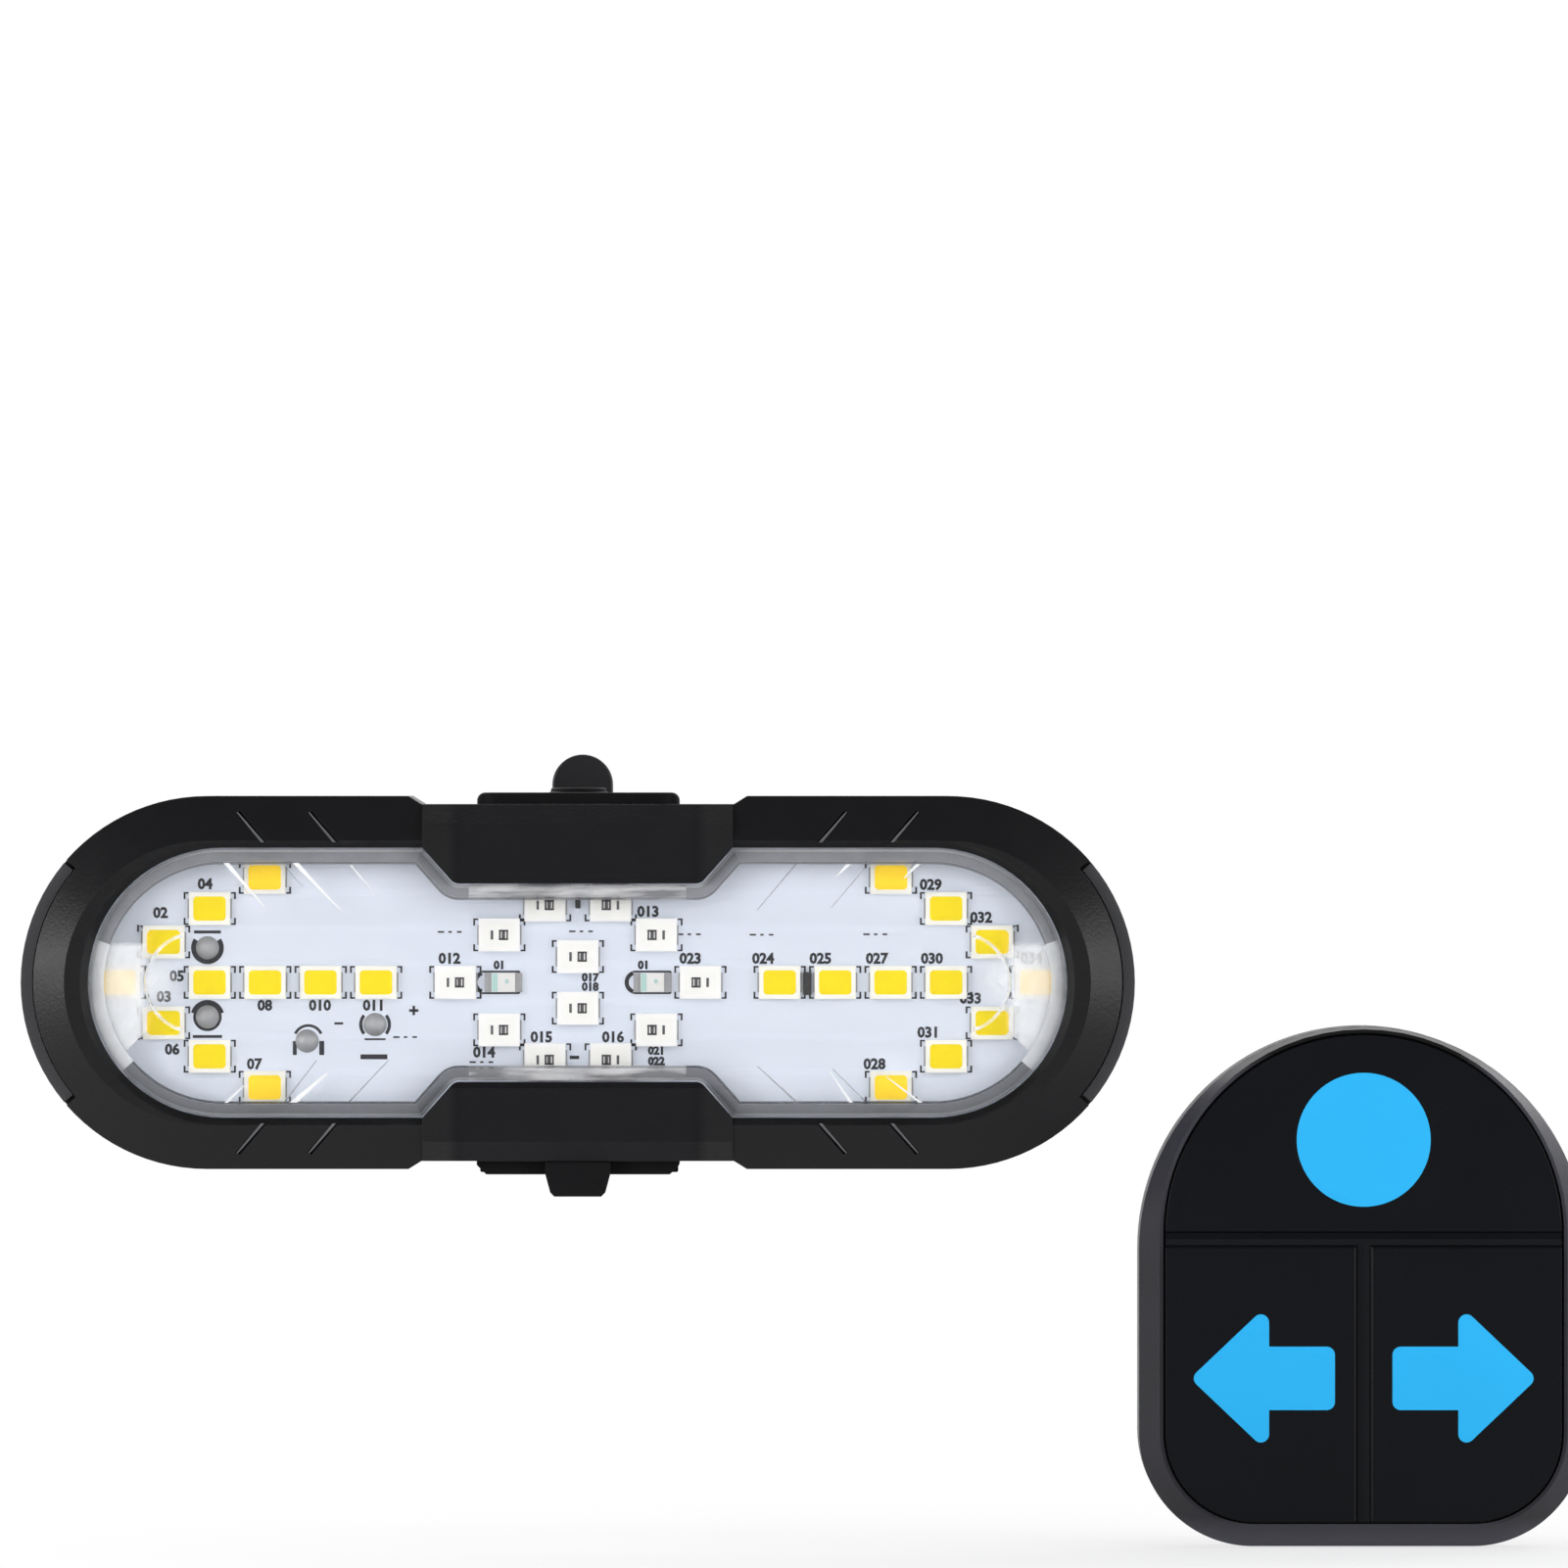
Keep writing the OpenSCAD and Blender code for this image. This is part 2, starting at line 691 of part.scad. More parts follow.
module bar_outline() {
    root = bar_w / 2 + bar_flare;
    polygon(concat(
        [[-root, waist_y], [-root, window_r]],
        bar_corners([root, window_r], [bar_w / 2, bar_y], bar_corner),
        [[root, window_r], [root, waist_y]]
    ));
}

module front_bezel() color(black) lamp_frame() difference() {
    union() {
        difference() {
            capsule_sweep() polygon([
                [0, -bezel_depth], [0, 0], [window_r + window_chamfer, 0],
                [end_r, -bezel_fall], [end_r, -bezel_depth]
            ]);
            capsule_sweep(window_x) polygon([
                [0, -bezel_depth - over], [window_r, -bezel_depth - over], [window_r, -window_chamfer_fall],
                [window_r + window_chamfer, 0], [window_r + window_chamfer, over], [0, over]
            ]);
        }
        for (flip = [0, 1]) mirror([0, flip, 0]) intersection() {
            layer(0, bezel_depth) bar_outline();
            across(lamp_w) bar_side();
        }
    }
    layer(lens_lip, bezel_depth + over) capsule(flange_r + lens_clear, window_x);
    layer(-over, bezel_depth + over) waist();
    both_ends() layer(-over, bezel_depth + over) intersection() {
        difference() {
            circle(end_r + over);
            circle(end_r - panel_show);
        }
        wedge(panel_angle + panel_gap_angle, 2 * end_r);
    }
    quarters() for (k = [0, 1])
        translate([end_x - groove_in - k * groove_pitch, groove_y, groove_z])
            rotate([-slope_angle, 0, 0]) rotate(groove_angle)
                cube([groove_len, groove_w, 2 * groove_depth], center = true);
}

// Slanted step on the lens that carries on from a groove on the bezel
module stripe(k) {
    low = window_r - stripe_len;
    foot = end_x - groove_in - k * groove_pitch - (groove_y - low) / tan(groove_angle);
    lean = stripe_len / tan(groove_angle);
    polygon([
        [foot, low], [foot + stripe_w, low],
        [foot + stripe_w + lean, window_r], [foot + lean, window_r]
    ]);
}

module lens_notch() hull() {
    layer(lens_recess - over, lens_recess) polygon(notch(lens_bevel + lens_clear));
    layer(lens_recess + lens_bevel_fall, lens_lip) polygon(notch(lens_clear));
}

module lens() color([0.85, 0.9, 0.95, 0.35]) lamp_frame() difference() {
    union() {
        difference() {
            capsule_sweep(window_x) polygon([
                [0, -lens_recess], [lens_r - lens_bevel, -lens_recess],
                [lens_r, -lens_recess - lens_bevel_fall], [lens_r, -lens_lip - join], [0, -lens_lip - join]
            ]);
            for (flip = [0, 1]) mirror([0, flip, 0]) lens_notch();
        }
        layer(lens_lip, flange_back) capsule(flange_r, window_x);
    }
    layer(lens_back, flange_back + over) capsule(lens_r - pocket_in, window_x);
    both_ends() translate([scoop_out, 0, 0]) rotate(-scoop_angle)
        rotate_extrude(angle = 2 * scoop_angle) polygon([
            [scoop_r, -lens_recess], [lens_r, -lens_recess - scoop_fall], [lens_r, over], [scoop_r, over]
        ]);
    both_ends() translate([scoop_out, 0, 0]) rotate(-scoop_line_angle)
        rotate_extrude(angle = 2 * scoop_line_angle) polygon([
            [scoop_line_r - scoop_line_w, over], [scoop_line_r - scoop_line_w, -lens_recess],
            [scoop_line_r - scoop_line_w / 2, -lens_recess - scoop_line_depth],
            [scoop_line_r, -lens_recess], [scoop_line_r, over]
        ]);
    quarters() for (k = [0, 1]) layer(-over, lens_recess + stripe_depth) intersection() {
        stripe(k);
        capsule(lens_r - lens_bevel, window_x);
    }
}

module lens_gasket() color(rubber) lamp_frame() layer(flange_back, bezel_depth) difference() {
    capsule(flange_r, window_x);
    capsule(flange_r - gasket_w, window_x);
}

module led_board() color(white) lamp_frame() layer(bezel_depth, board_back) difference() {
    capsule(board_r);
    for (k = [0 : 3]) translate(solder_places()[k])
        circle(k < 2 ? buzzer_pin_r + hole_clear : wire_hole_r);
}

module led_frame() difference() {
    layer(led_top, bezel_depth) square([led_w, led_h], center = true);
    layer(led_top - over, led_top + led_cup)
        rounded_rect(led_w - 2 * led_wall, led_h - 2 * led_wall, led_wall);
}

module led_fill() layer(led_top, led_top + led_cup)
    rounded_rect(led_w - 2 * led_wall, led_h - 2 * led_wall, led_wall);

module amber_led_frames() color(white) lamp_frame()
    for (place = arrow_places()) translate(place) led_frame();

module amber_led_fills() color(amber) lamp_frame()
    for (place = arrow_places()) translate(place) led_fill();

module red_led_frames() color(white) lamp_frame()
    for (place = rear_places()) translate(place) led_frame();

module red_led_fills() color([0.96, 0.95, 0.93]) lamp_frame()
    for (place = rear_places()) translate(place) led_fill();

module indicator_leds() color([0.8, 0.85, 0.8]) lamp_frame() for (side = [-1, 1])
    translate([side * indicator_x, 0]) {
        layer(bezel_depth - indicator_size[2] / 2, bezel_depth)
            square([indicator_size[0], indicator_size[1]], center = true);
        layer(bezel_depth - indicator_size[2], bezel_depth - indicator_size[2] / 2)
            square([indicator_size[0] - 2 * indicator_end, indicator_size[1]], center = true);
    }

module solder_joints() color(steel) lamp_frame() for (place = solder_places()) translate(place)
intersection() {
    translate([0, 0, solder_h - solder_sphere - bezel_depth]) sphere(solder_sphere);
    layer(bezel_depth - solder_h - over, bezel_depth) circle(solder_r + over);
}

module housing_outline() difference() {
    union() {
        capsule(shoulder_r);
        intersection() {
            capsule(end_r);
            square([2 * (end_x + flat_over), 2 * end_r], center = true);
        }
        for (turn = [0, 180]) rotate(turn) translate([end_x, 0]) intersection() {
            circle(end_r);
            wedge(panel_angle + 2 * panel_gap_angle, 2 * end_r);
        }
    }
    waist();
}

// Rounded pocket in the top, seen from above
module button_outline(margin) translate([0, button_mid])
    rounded_rect(button_w + 2 * margin, button_l + 2 * margin, button_corner + margin);

// Extrudes an outline of [across, depth] between two heights on the lamp's face
module rise(from, to) translate([0, from, 0]) rotate([-90, 0, 0]) linear_extrude(to - from) children();

module housing() color(black) lamp_frame() difference() {
    union() {
        difference() {
            union() {
                layer(bezel_depth, body_depth) housing_outline();
                both_ends() layer(bezel_depth - panel_reach, bezel_depth + join) intersection() {
                    difference() {
                        circle(end_r);
                        circle(end_r - panel_show + panel_clear);
                    }
                    wedge(panel_angle, 2 * end_r);
                }
            }
            layer(bezel_depth - over, board_back) capsule(board_r + board_clear);
            layer(board_back - over, ledge_back + over) capsule(board_r - ledge_w);
            layer(ledge_back, body_depth + over) capsule(cavity_r);
        }
        for (place = screw_places()) translate(place) layer(ledge_back - join, body_depth) circle(boss_r);
        rise(well_floor - well_floor_t, cavity_r + join)
            translate([-well_w / 2, bezel_depth]) square([well_w, well_back - bezel_depth]);
    }
    layer(bezel_depth - over, board_back) capsule(board_r + board_clear);
    for (place = screw_places()) translate(place) layer(ledge_back + over, body_depth + over) circle(screw_r);
    rise(well_floor, end_r + over) button_outline(button_clear);
    rise(well_floor - well_floor_t - over, well_floor + over) translate([0, switch_depth])
        square(plunger_size + 2 * [button_clear, button_clear], center = true);
    rise(-end_r - over, -cavity_r + port_cut_up) translate([0, port_depth])
        rounded_rect(plug_size[0] + 2 * plug_clear, plug_size[1] + 2 * plug_clear, plug_corner + plug_clear);
    rise(-cavity_r - over, -cavity_r + port_cut_up) translate([0, port_depth])
        square([socket_w + 2 * board_clear, socket_h + 2 * board_clear], center = true);
    rise(-waist_y - over, -waist_y + anchor_sink) translate([0, anchor_depth])
        square([cover_w, anchor_l], center = true);
}

module power_button() color(rubber) lamp_frame() {
    intersection() {
        rise(button_bottom, waist_y + button_rise) button_outline(0);
        layer(button_front - over, button_front + button_l + over)
            translate([0, button_bottom]) rounded_rect(button_w, 2 * button_t, button_edge);
    }
    rise(plunger_bottom, button_bottom + join) translate([0, switch_depth])
        square(plunger_size, center = true);
    // Power sign: a broken ring and a bar
    rise(waist_y + button_rise - join, waist_y + button_rise + sign_rise) translate([0, button_mid]) {
        difference() {
            circle(sign_d / 2);
            circle(sign_d / 2 - sign_line);
            translate([0, sign_d / 2]) square([sign_break, sign_d], center = true);
        }
        translate([0, sign_d / 4]) square([sign_line, sign_d / 2], center = true);
    }
}

module power_switch() color(dark) lamp_frame() {
    rise(switch_top - switch_size[1], switch_top) translate([0, switch_depth])
        square([switch_size[0], switch_size[2]], center = true);
    rise(switch_top - join, switch_top + switch_cap_h) translate([0, switch_depth]) circle(switch_cap_r);
}

module port_cover() color(rubber) lamp_frame() difference() {
    union() {
        rise(hinge_y - hinge_r, hinge_y + hinge_r) translate([0, (cover_front + hinge_depth) / 2])
            square([cover_w, hinge_depth - cover_front], center = true);
        translate([-cover_w / 2, hinge_y, -hinge_depth]) rotate([0, 90, 0])
            cylinder(r = hinge_r, h = cover_w);
        layer(tab_front, tab_front + tab_t) polygon([
            [-tab_w / 2, hinge_y + hinge_r], [tab_w / 2, hinge_y + hinge_r],
            [tab_w / 2, hinge_y - hinge_r], [tab_end, hinge_y - hinge_r - tab_drop + tab_corner],
            [tab_end - tab_corner, hinge_y - hinge_r - tab_drop],
            [-tab_end + tab_corner, hinge_y - hinge_r - tab_drop],
            [-tab_end, hinge_y - hinge_r - tab_drop + tab_corner], [-tab_w / 2, hinge_y - hinge_r]
        ]);
        rise(hinge_y, -waist_y + plug_h) translate([0, port_depth])
            rounded_rect(plug_size[0], plug_size[1], plug_corner);
    }
    for (side = [-1, 1]) translate([side * cover_w / 2, hinge_y - hinge_r, 0]) rotate(45)
        cube([cover_t, cover_t, 4 * body_depth], center = true);
}

module port_cover_anchor() color(rubber) lamp_frame()
    rise(hinge_y - hinge_r, -waist_y + anchor_sink)
        translate([0, anchor_depth])
            square([cover_w - 2 * anchor_gap, anchor_l - 2 * pin_clear], center = true);

module charging_socket() color(steel) lamp_frame() {
    rise(-socket_mouth, -socket_mouth + socket_l) translate([0, port_depth]) difference() {
        rounded_rect(socket_w, socket_h, socket_corner);
        rounded_rect(socket_w - 2 * socket_wall, socket_h - 2 * socket_wall, socket_corner - socket_wall);
    }
    rise(-socket_mouth + socket_l - socket_back_t, -socket_mouth + socket_l) translate([0, port_depth])
        rounded_rect(socket_w, socket_h, socket_corner);
    rise(-socket_mouth + tongue_in, -socket_mouth + socket_l) translate([0, port_depth])
        square(tongue_size, center = true);
}

module buzzer() color(black) lamp_frame() translate([-end_x, 0, 0]) {
    difference() {
        layer(board_back, board_back + buzzer_h) circle(buzzer_r);
        layer(board_back + buzzer_h - buzzer_vent, board_back + buzzer_h + over) circle(buzzer_vent);
    }
    for (side = [-1, 1]) translate([0, side * buzzer_pin_up])
        layer(bezel_depth, board_back + join) circle(buzzer_pin_r);
}

module battery() color([0.35, 0.45, 0.62]) lamp_frame()
    translate([battery_x0, 0, 0]) rotate([90, 0, 90]) linear_extrude(battery_l)
        translate([0, -(battery_front + battery_back) / 2])
            rounded_rect(battery_h, battery_t, battery_corner);

module battery_foam() color(dark) lamp_frame() layer(battery_back, battery_back + foam_t)
    translate([battery_x0 + battery_l / 2, 0])
        rounded_rect(battery_l - foam_in[0], battery_h - foam_in[1], foam_t);

// One lead: out of the battery's end, round a bend and forward through the board
module lead(place) {
    run = battery_x0 - place[0] - lead_bend;
    translate([place[0], place[1], 0]) {
        layer(bezel_depth, lead_depth - lead_bend) circle(lead_r);
        translate([lead_bend, 0, -(lead_depth - lead_bend)]) rotate([90, 0, 180])
            mirror([0, 1, 0]) rotate_extrude(angle = 90) translate([lead_bend, 0]) circle(lead_r);
        translate([lead_bend, 0, -lead_depth]) rotate([0, 90, 0]) cylinder(r = lead_r, h = run);
    }
}

module battery_leads() color([0.75, 0.12, 0.1]) lamp_frame()
    for (place = [lead_plus, lead_minus]) lead(place);

module rear_cover() color(black) lamp_frame() difference() {
    union() {
        difference() {
            capsule_sweep() polygon([
                [0, -body_depth], [rear_r, -body_depth], [cover_r, -cover_back], [0, -cover_back]
            ]);
            capsule_sweep() polygon([
                [0, -body_depth + over], [rear_r - cover_wall, -body_depth + over],
                [rear_r - cover_wall, -body_depth], [cover_r - cover_wall, -cover_back + cover_wall],
                [0, -cover_back + cover_wall]
            ]);
        }
        intersection() {
            for (place = screw_places()) translate(place) layer(body_depth, cover_back) circle(cover_boss_r);
            capsule_sweep() polygon([
                [0, -body_depth], [rear_r, -body_depth], [cover_r, -cover_back], [0, -cover_back]
            ]);
        }
        difference() {
            layer(body_depth - spigot_l, body_depth + join) difference() {
                capsule(cavity_r - spigot_clear);
                capsule(cavity_r - spigot_clear - spigot_wall);
            }
            for (place = screw_places()) translate(place)
                layer(body_depth - spigot_l - over, body_depth) circle(boss_r + boss_gap);
        }
        layer(cover_back - join, cover_back + neck_t + join) square([neck_w, shoe_l], center = true);
        layer(cover_back + neck_t, cover_back + neck_t + shoe_t) square([shoe_w, shoe_l], center = true);
    }
    for (place = screw_places()) translate(place) {
        layer(body_depth - over, cover_back + over) circle(screw_r + screw_clear);
        layer(screw_seat, cover_back + over) circle(screw_head_r + screw_clear);
    }
}

// Socket screw with its head at the rear
module screw(seat, length) difference() {
    union() {
        layer(seat, seat + screw_head_h) circle(screw_head_r);
        layer(seat - length, seat + join) circle(screw_r - pin_clear);
    }
    layer(seat + screw_head_h - socket_key_d, seat + screw_head_h + over) circle(socket_key_r, $fn = 6);
}

module cover_screws() color(steel) lamp_frame()
    for (place = screw_places()) translate(place) screw(screw_seat, screw_l);

// Place of a strap pin beside a round bar of radius r
function pin_place(r, out, angle) = [(r + out) * sin(angle), -(r + out) * cos(angle)];

// Saddle that lies against a round bar, with ears that hold a strap's pins
module saddle(r, pad, web, half, pin, eye, ear, w, h) {
    base = -(r + pad + web);
    difference() {
        union() {
            linear_extrude(h, center = true) translate([-half, base]) square([2 * half, -base]);
            for (side = [-1, 1]) translate([0, 0, side * (h - ear_t) / 2])
                linear_extrude(ear_t, center = true) for (flip = [0, 1]) mirror([flip, 0]) {
                    translate(pin) circle(ear);
                    polygon([
                        [0, base], [half, base], pin + 0.7 * [ear, -ear], pin - 0.7 * [ear, -ear], [0, pin[1]]
                    ]);
                }
        }
        cylinder(r = r + pad, h = h + over, center = true);
        for (flip = [0, 1]) mirror([flip, 0, 0]) translate(pin)
            cylinder(r = eye + strap_clear, h = w + 2 * strap_clear, center = true);
    }
}

// Rubber strap round a bar, with an eye at each end
module strap(r, t, w, pin, angle, eye, hole) linear_extrude(w, center = true) difference() {
    union() {
        difference() {
            circle(r + t);
            rotate(-90) wedge(angle - eye_lap, 3 * r);
        }
        for (side = [-1, 1]) translate([side * pin[0], pin[1]]) circle(eye);
    }
    circle(r);
    for (side = [-1, 1]) translate([side * pin[0], pin[1]]) circle(hole + pin_clear);
}

// Rubber pad between a saddle and its bar
module pad(r, t, half, h) linear_extrude(h, center = true) intersection() {
    difference() {
        circle(r + t);
        circle(r);
    }
    rotate(-90) wedge(asin(half / (r + t)), 2 * r);
}

post_pin = pin_place(post_r, pin_out, pin_angle);
bar_pin = pin_place(bar_r, bar_pin_out, bar_pin_angle);

module post_bracket() color(black) difference() {
    union() {
        saddle(
            post_r, pad_t, bracket_web + slot_l + join, saddle_half,
            post_pin, eye_r, ear_r, strap_w, bracket_h
        );
        translate([-block_w / 2, block_front_y, -bracket_h / 2])
            cube([block_w, slot_front_y - block_front_y, bracket_h]);
    }
    // Channel for the shoe, open at the top
    translate([-shoe_w / 2 - shoe_clear, lip_back_y, -shoe_l / 2 - shoe_clear])
        cube([shoe_w + 2 * shoe_clear, channel_back_y - lip_back_y, bracket_h]);
    translate([-neck_w / 2 - shoe_clear, block_front_y - over, -shoe_l / 2 - shoe_clear])
        cube([neck_w + 2 * shoe_clear, lip_t + 2 * over, bracket_h]);
    // Slot for the latch, and the gap for its hook
    translate([-latch_w / 2 - latch_clear, slot_front_y, latch_z - hub_r - latch_clear])
        cube([latch_w + 2 * latch_clear, slot_l, bracket_h]);
    translate([-latch_w / 2 - latch_clear, channel_back_y - over, hook_z - latch_clear])
        cube([latch_w + 2 * latch_clear, slot_l, bracket_h]);
    translate([-latch_pin_l / 2, latch_y, latch_z]) rotate([0, 90, 0])
        cylinder(r = latch_pin_r + pin_clear, h = latch_pin_l);
    for (flip = [0, 1]) mirror([flip, 0, 0]) translate(post_pin)
        cylinder(r = pin_r + pin_clear, h = bracket_h + over, center = true);
    // Open mouths of the two hooks on the right
    translate(post_pin) rotate(mouth_angle)
        translate([0, -pin_r - pin_clear, -bracket_h])
            cube([2 * ear_r, hook_mouth + 2 * pin_clear, 2 * bracket_h]);
}

module saddle_pad() color(rubber) pad(post_r, pad_t, saddle_half, bracket_h);

module post_strap() color(rubber) strap(post_r, strap_t, strap_w, post_pin, pin_angle, eye_r, pin_r);

module strap_pin() color(steel) translate([-post_pin[0], post_pin[1], 0])
    cylinder(r = pin_r, h = bracket_h, center = true);

module strap_toggle() color(black) translate(post_pin)
    cylinder(r = pin_r, h = bracket_h, center = true);

module release_latch() color(dark) difference() {
    union() {
        translate([0, latch_y + latch_t / 2, 0]) rotate([90, 0, 0]) linear_extrude(latch_t) {
            translate([-latch_w / 2, latch_z]) square([latch_w, latch_top - latch_w / 2 - latch_z]);
            translate([0, latch_top - latch_w / 2]) circle(latch_w / 2);
        }
        translate([-latch_w / 2, latch_y, latch_z]) rotate([0, 90, 0]) cylinder(r = hub_r, h = latch_w);
        translate([-latch_w / 2, nose_y, hook_z]) cube([latch_w, latch_y - nose_y, hook_t]);
    }
    translate([-latch_w, latch_y, latch_z]) rotate([0, 90, 0])
        cylinder(r = latch_pin_r + latch_play, h = 2 * latch_w);
}

module latch_pin() color(steel) translate([-latch_pin_l / 2, latch_y, latch_z]) rotate([0, 90, 0])
    cylinder(r = latch_pin_r, h = latch_pin_l);

// Centre of ring i of a coil spring along +Y
function coil_centre(i, radius, wire, step) = let(turn = 360 * i / spring_rings)
    [radius * cos(turn), wire / 2 + i * step, radius * sin(turn)];

// Least gap between the turns of a coil spring
function coil_gap(radius, wire, length, turns) = let(
    steps = turns * spring_rings,
    step = (length - wire) / steps
) min([for (i = [0 : steps], j = [i + spring_rings / 2 : steps])
    norm(coil_centre(j, radius, wire, step) - coil_centre(i, radius, wire, step))]) - wire;

// Coil spring along +Y, one unbroken tube
module coil(radius, wire, length, turns) {
    steps = turns * spring_rings;
    rise_per_step = (length - wire) / steps;
    points = [for (i = [0 : steps], j = [0 : spring_sides - 1]) let(
        turn = 360 * i / spring_rings,
        side = 360 * j / spring_sides,
        out = radius + wire / 2 * cos(side)
    ) [out * cos(turn), wire / 2 + i * rise_per_step + wire / 2 * sin(side), out * sin(turn)]];
    side_faces = [for (i = [0 : steps - 1], j = [0 : spring_sides - 1]) let(
        a = i * spring_sides + j,
        b = i * spring_sides + (j + 1) % spring_sides
    ) each [[a, b + spring_sides, b], [a, a + spring_sides, b + spring_sides]]];
    cap = [for (j = [1 : spring_sides - 2]) [0, j, j + 1]];
    last = steps * spring_sides;
    end_cap = [for (j = [1 : spring_sides - 2]) [last, last + j + 1, last + j]];
    polyhedron(points, concat(side_faces, cap, end_cap));
}

module latch_spring() color(steel) translate([0, spring_front + spring_gap, spring_z]) {
    length = slot_back_y - spring_front - 2 * spring_gap;
    echo(least_spring_gap = coil_gap(spring_r, spring_wire, length, spring_turns));
    coil(spring_r, spring_wire, length, spring_turns);
}

// Outline with a round top of radius r about [0, centre_y], straight sides and rounded lower corners
module dome_outline(r, centre_y, bottom, corner) {
    translate([0, centre_y]) circle(r);
    translate([-r, bottom + corner]) square([2 * r, centre_y - bottom - corner]);
    translate([corner - r, bottom]) square([2 * (r - corner), corner + join]);
    for (side = [-1, 1]) translate([side * (r - corner), bottom + corner]) circle(corner);
}

module remote_outline(inset)
    dome_outline(remote_r - inset, 0, remote_bottom + inset, remote_corner - inset);

module face_outline(inset)
    dome_outline(face_r - inset, face_up, face_bottom + inset, face_corner - inset);

module remote_screw_places() for (side = [-1, 1], place = remote_boss_at)
    translate([side * place[0], place[1]]) children();

module remote_case() color(dark) remote_frame() difference() {
    union() {
        hull() {
            layer(rim_fall, rim_fall + join) remote_outline(0);
            layer(rim_front, rim_front + join) face_outline(-rim_edge);
        }
        layer(rim_fall, case_back) remote_outline(0);
    }
    layer(-over, key_stop) face_outline(0);
    layer(key_stop - over, mat_front + over) face_outline(stop_in);
    difference() {
        layer(mat_front, case_back + over) face_outline(cavity_in);
        remote_screw_places() layer(remote_board_back, case_back) circle(remote_boss_r);
    }
    remote_screw_places() layer(remote_screw_start, case_back + over) circle(screw_r);
}

// Key blank between the splits, with chamfers along them
module key_blank(x0, x1, y0, y1) difference() {
    layer(0, key_t) intersection() {
        face_outline(key_clear);
        translate([x0, y0]) square([x1 - x0, y1 - y0]);
    }
    for (y = [y0, y1]) translate([0, y, 0]) rotate([45, 0, 0])
        cube([2 * remote_w, sqrt(2) * split_chamfer, sqrt(2) * split_chamfer], center = true);
    for (x = [x0, x1]) translate([x, 0, 0]) rotate([0, 45, 0])
        cube([sqrt(2) * split_chamfer, 2 * remote_h, sqrt(2) * split_chamfer], center = true);
}

module round_outline() translate([0, round_sign_up]) circle(round_sign_d / 2);

// Arrow that points right, with rounded corners
module arrow_outline() {
    back = arrow_in + arrow_l - arrow_head_l;
    translate([0, -arrow_down]) {
        hull() {
            translate([arrow_in + arrow_l - arrow_corner, 0]) circle(arrow_corner, $fn = 32);
            for (side = [-1, 1])
                translate([back + arrow_corner, side * (arrow_head_h / 2 - arrow_corner)])
                    circle(arrow_corner, $fn = 32);
        }
        hull() {
            for (side = [-1, 1])
                translate([arrow_in + arrow_corner, side * (arrow_shaft_h / 2 - arrow_corner)])
                    circle(arrow_corner, $fn = 32);
            translate([back, -arrow_shaft_h / 2]) square([arrow_corner, arrow_shaft_h]);
        }
    }
}

module round_key() color(black) remote_frame() difference() {
    key_blank(-remote_w, remote_w, split_up + key_clear, remote_h);
    layer(-over, inlay_t) round_outline();
}

module side_key() difference() {
    key_blank(key_clear, remote_w, -remote_h, split_up - key_clear);
    layer(-over, inlay_t) arrow_outline();
}

module right_key() color(black) remote_frame() side_key();

module left_key() color(black) remote_frame() mirror([1, 0, 0]) side_key();

module round_sign() color(blue) remote_frame() layer(0, inlay_t) round_outline();

module right_sign() color(blue) remote_frame() layer(0, inlay_t) arrow_outline();

module left_sign() color(blue) remote_frame() mirror([1, 0, 0]) layer(0, inlay_t) arrow_outline();

module key_mat() color([0.55, 0.56, 0.58]) remote_frame() {
    layer(mat_front, mat_back) face_outline(cavity_in + mat_clear);
    arrow_mid = arrow_in + arrow_l / 2;
    for (place = [[0, round_sign_up], [arrow_mid, -arrow_down], [-arrow_mid, -arrow_down]])
        translate(place) layer(dome_top, mat_front + join) circle(dome_r);
}

module remote_board() color([0.1, 0.35, 0.2]) remote_frame() layer(mat_back, remote_board_back)
    face_outline(cavity_in + mat_clear);

module coin_cell() color(steel) remote_frame() translate([0, cell_y]) {
    layer(cell_front, cell_front + cell_step[1] + join) circle(cell_r - cell_step[0]);
    layer(cell_front + cell_step[1], cell_front + cell_t) circle(cell_r);
}

// Strip under the cell, with an upstand at each end
module cell_clip() color(steel) remote_frame() translate([0, cell_y]) {
    layer(remote_board_back, remote_board_back + clip_t)
        square([2 * (cell_r + clip_clear + clip_t), clip_w], center = true);
    for (side = [-1, 1]) translate([side * (cell_r + clip_clear + clip_t / 2), 0])
        layer(remote_board_back, cell_front + clip_up) square([clip_t, clip_w], center = true);
}

// Turns a saddle's bar axis from Z to the remote's X, with the bar behind the remote
module bar_frame() remote_frame() translate([0, bar_y_pos, -bar_depth]) rotate([-90, 0, 90]) children();

module remote_rear() color(dark) {
    remote_frame() difference() {
        union() {
            layer(case_back, remote_d - rear_rise) remote_outline(0);
            layer(remote_d - rear_rise - join, remote_d) remote_outline(rear_rise);
            layer(case_back - spigot_h, case_back + join) difference() {
                face_outline(cavity_in + spigot_clear);
                face_outline(cavity_in + spigot_clear + spigot_wall);
                remote_screw_places() circle(remote_boss_r + boss_gap);
            }
        }
        remote_screw_places() {
            layer(case_back - over, remote_d + over) circle(screw_r + screw_clear);
            layer(remote_screw_seat, remote_d + over) circle(screw_head_r + screw_clear);
        }
    }
    bar_frame() difference() {
        saddle(
            bar_r, bar_pad_t, bar_web + join, bar_saddle_half,
            bar_pin, bar_eye_r, bar_ear_r, bar_strap_w, bar_core_h
        );
        for (flip = [0, 1]) mirror([flip, 0, 0]) translate(bar_pin)
            cylinder(r = bar_pin_r + pin_clear, h = bar_core_h + over, center = true);
    }
}

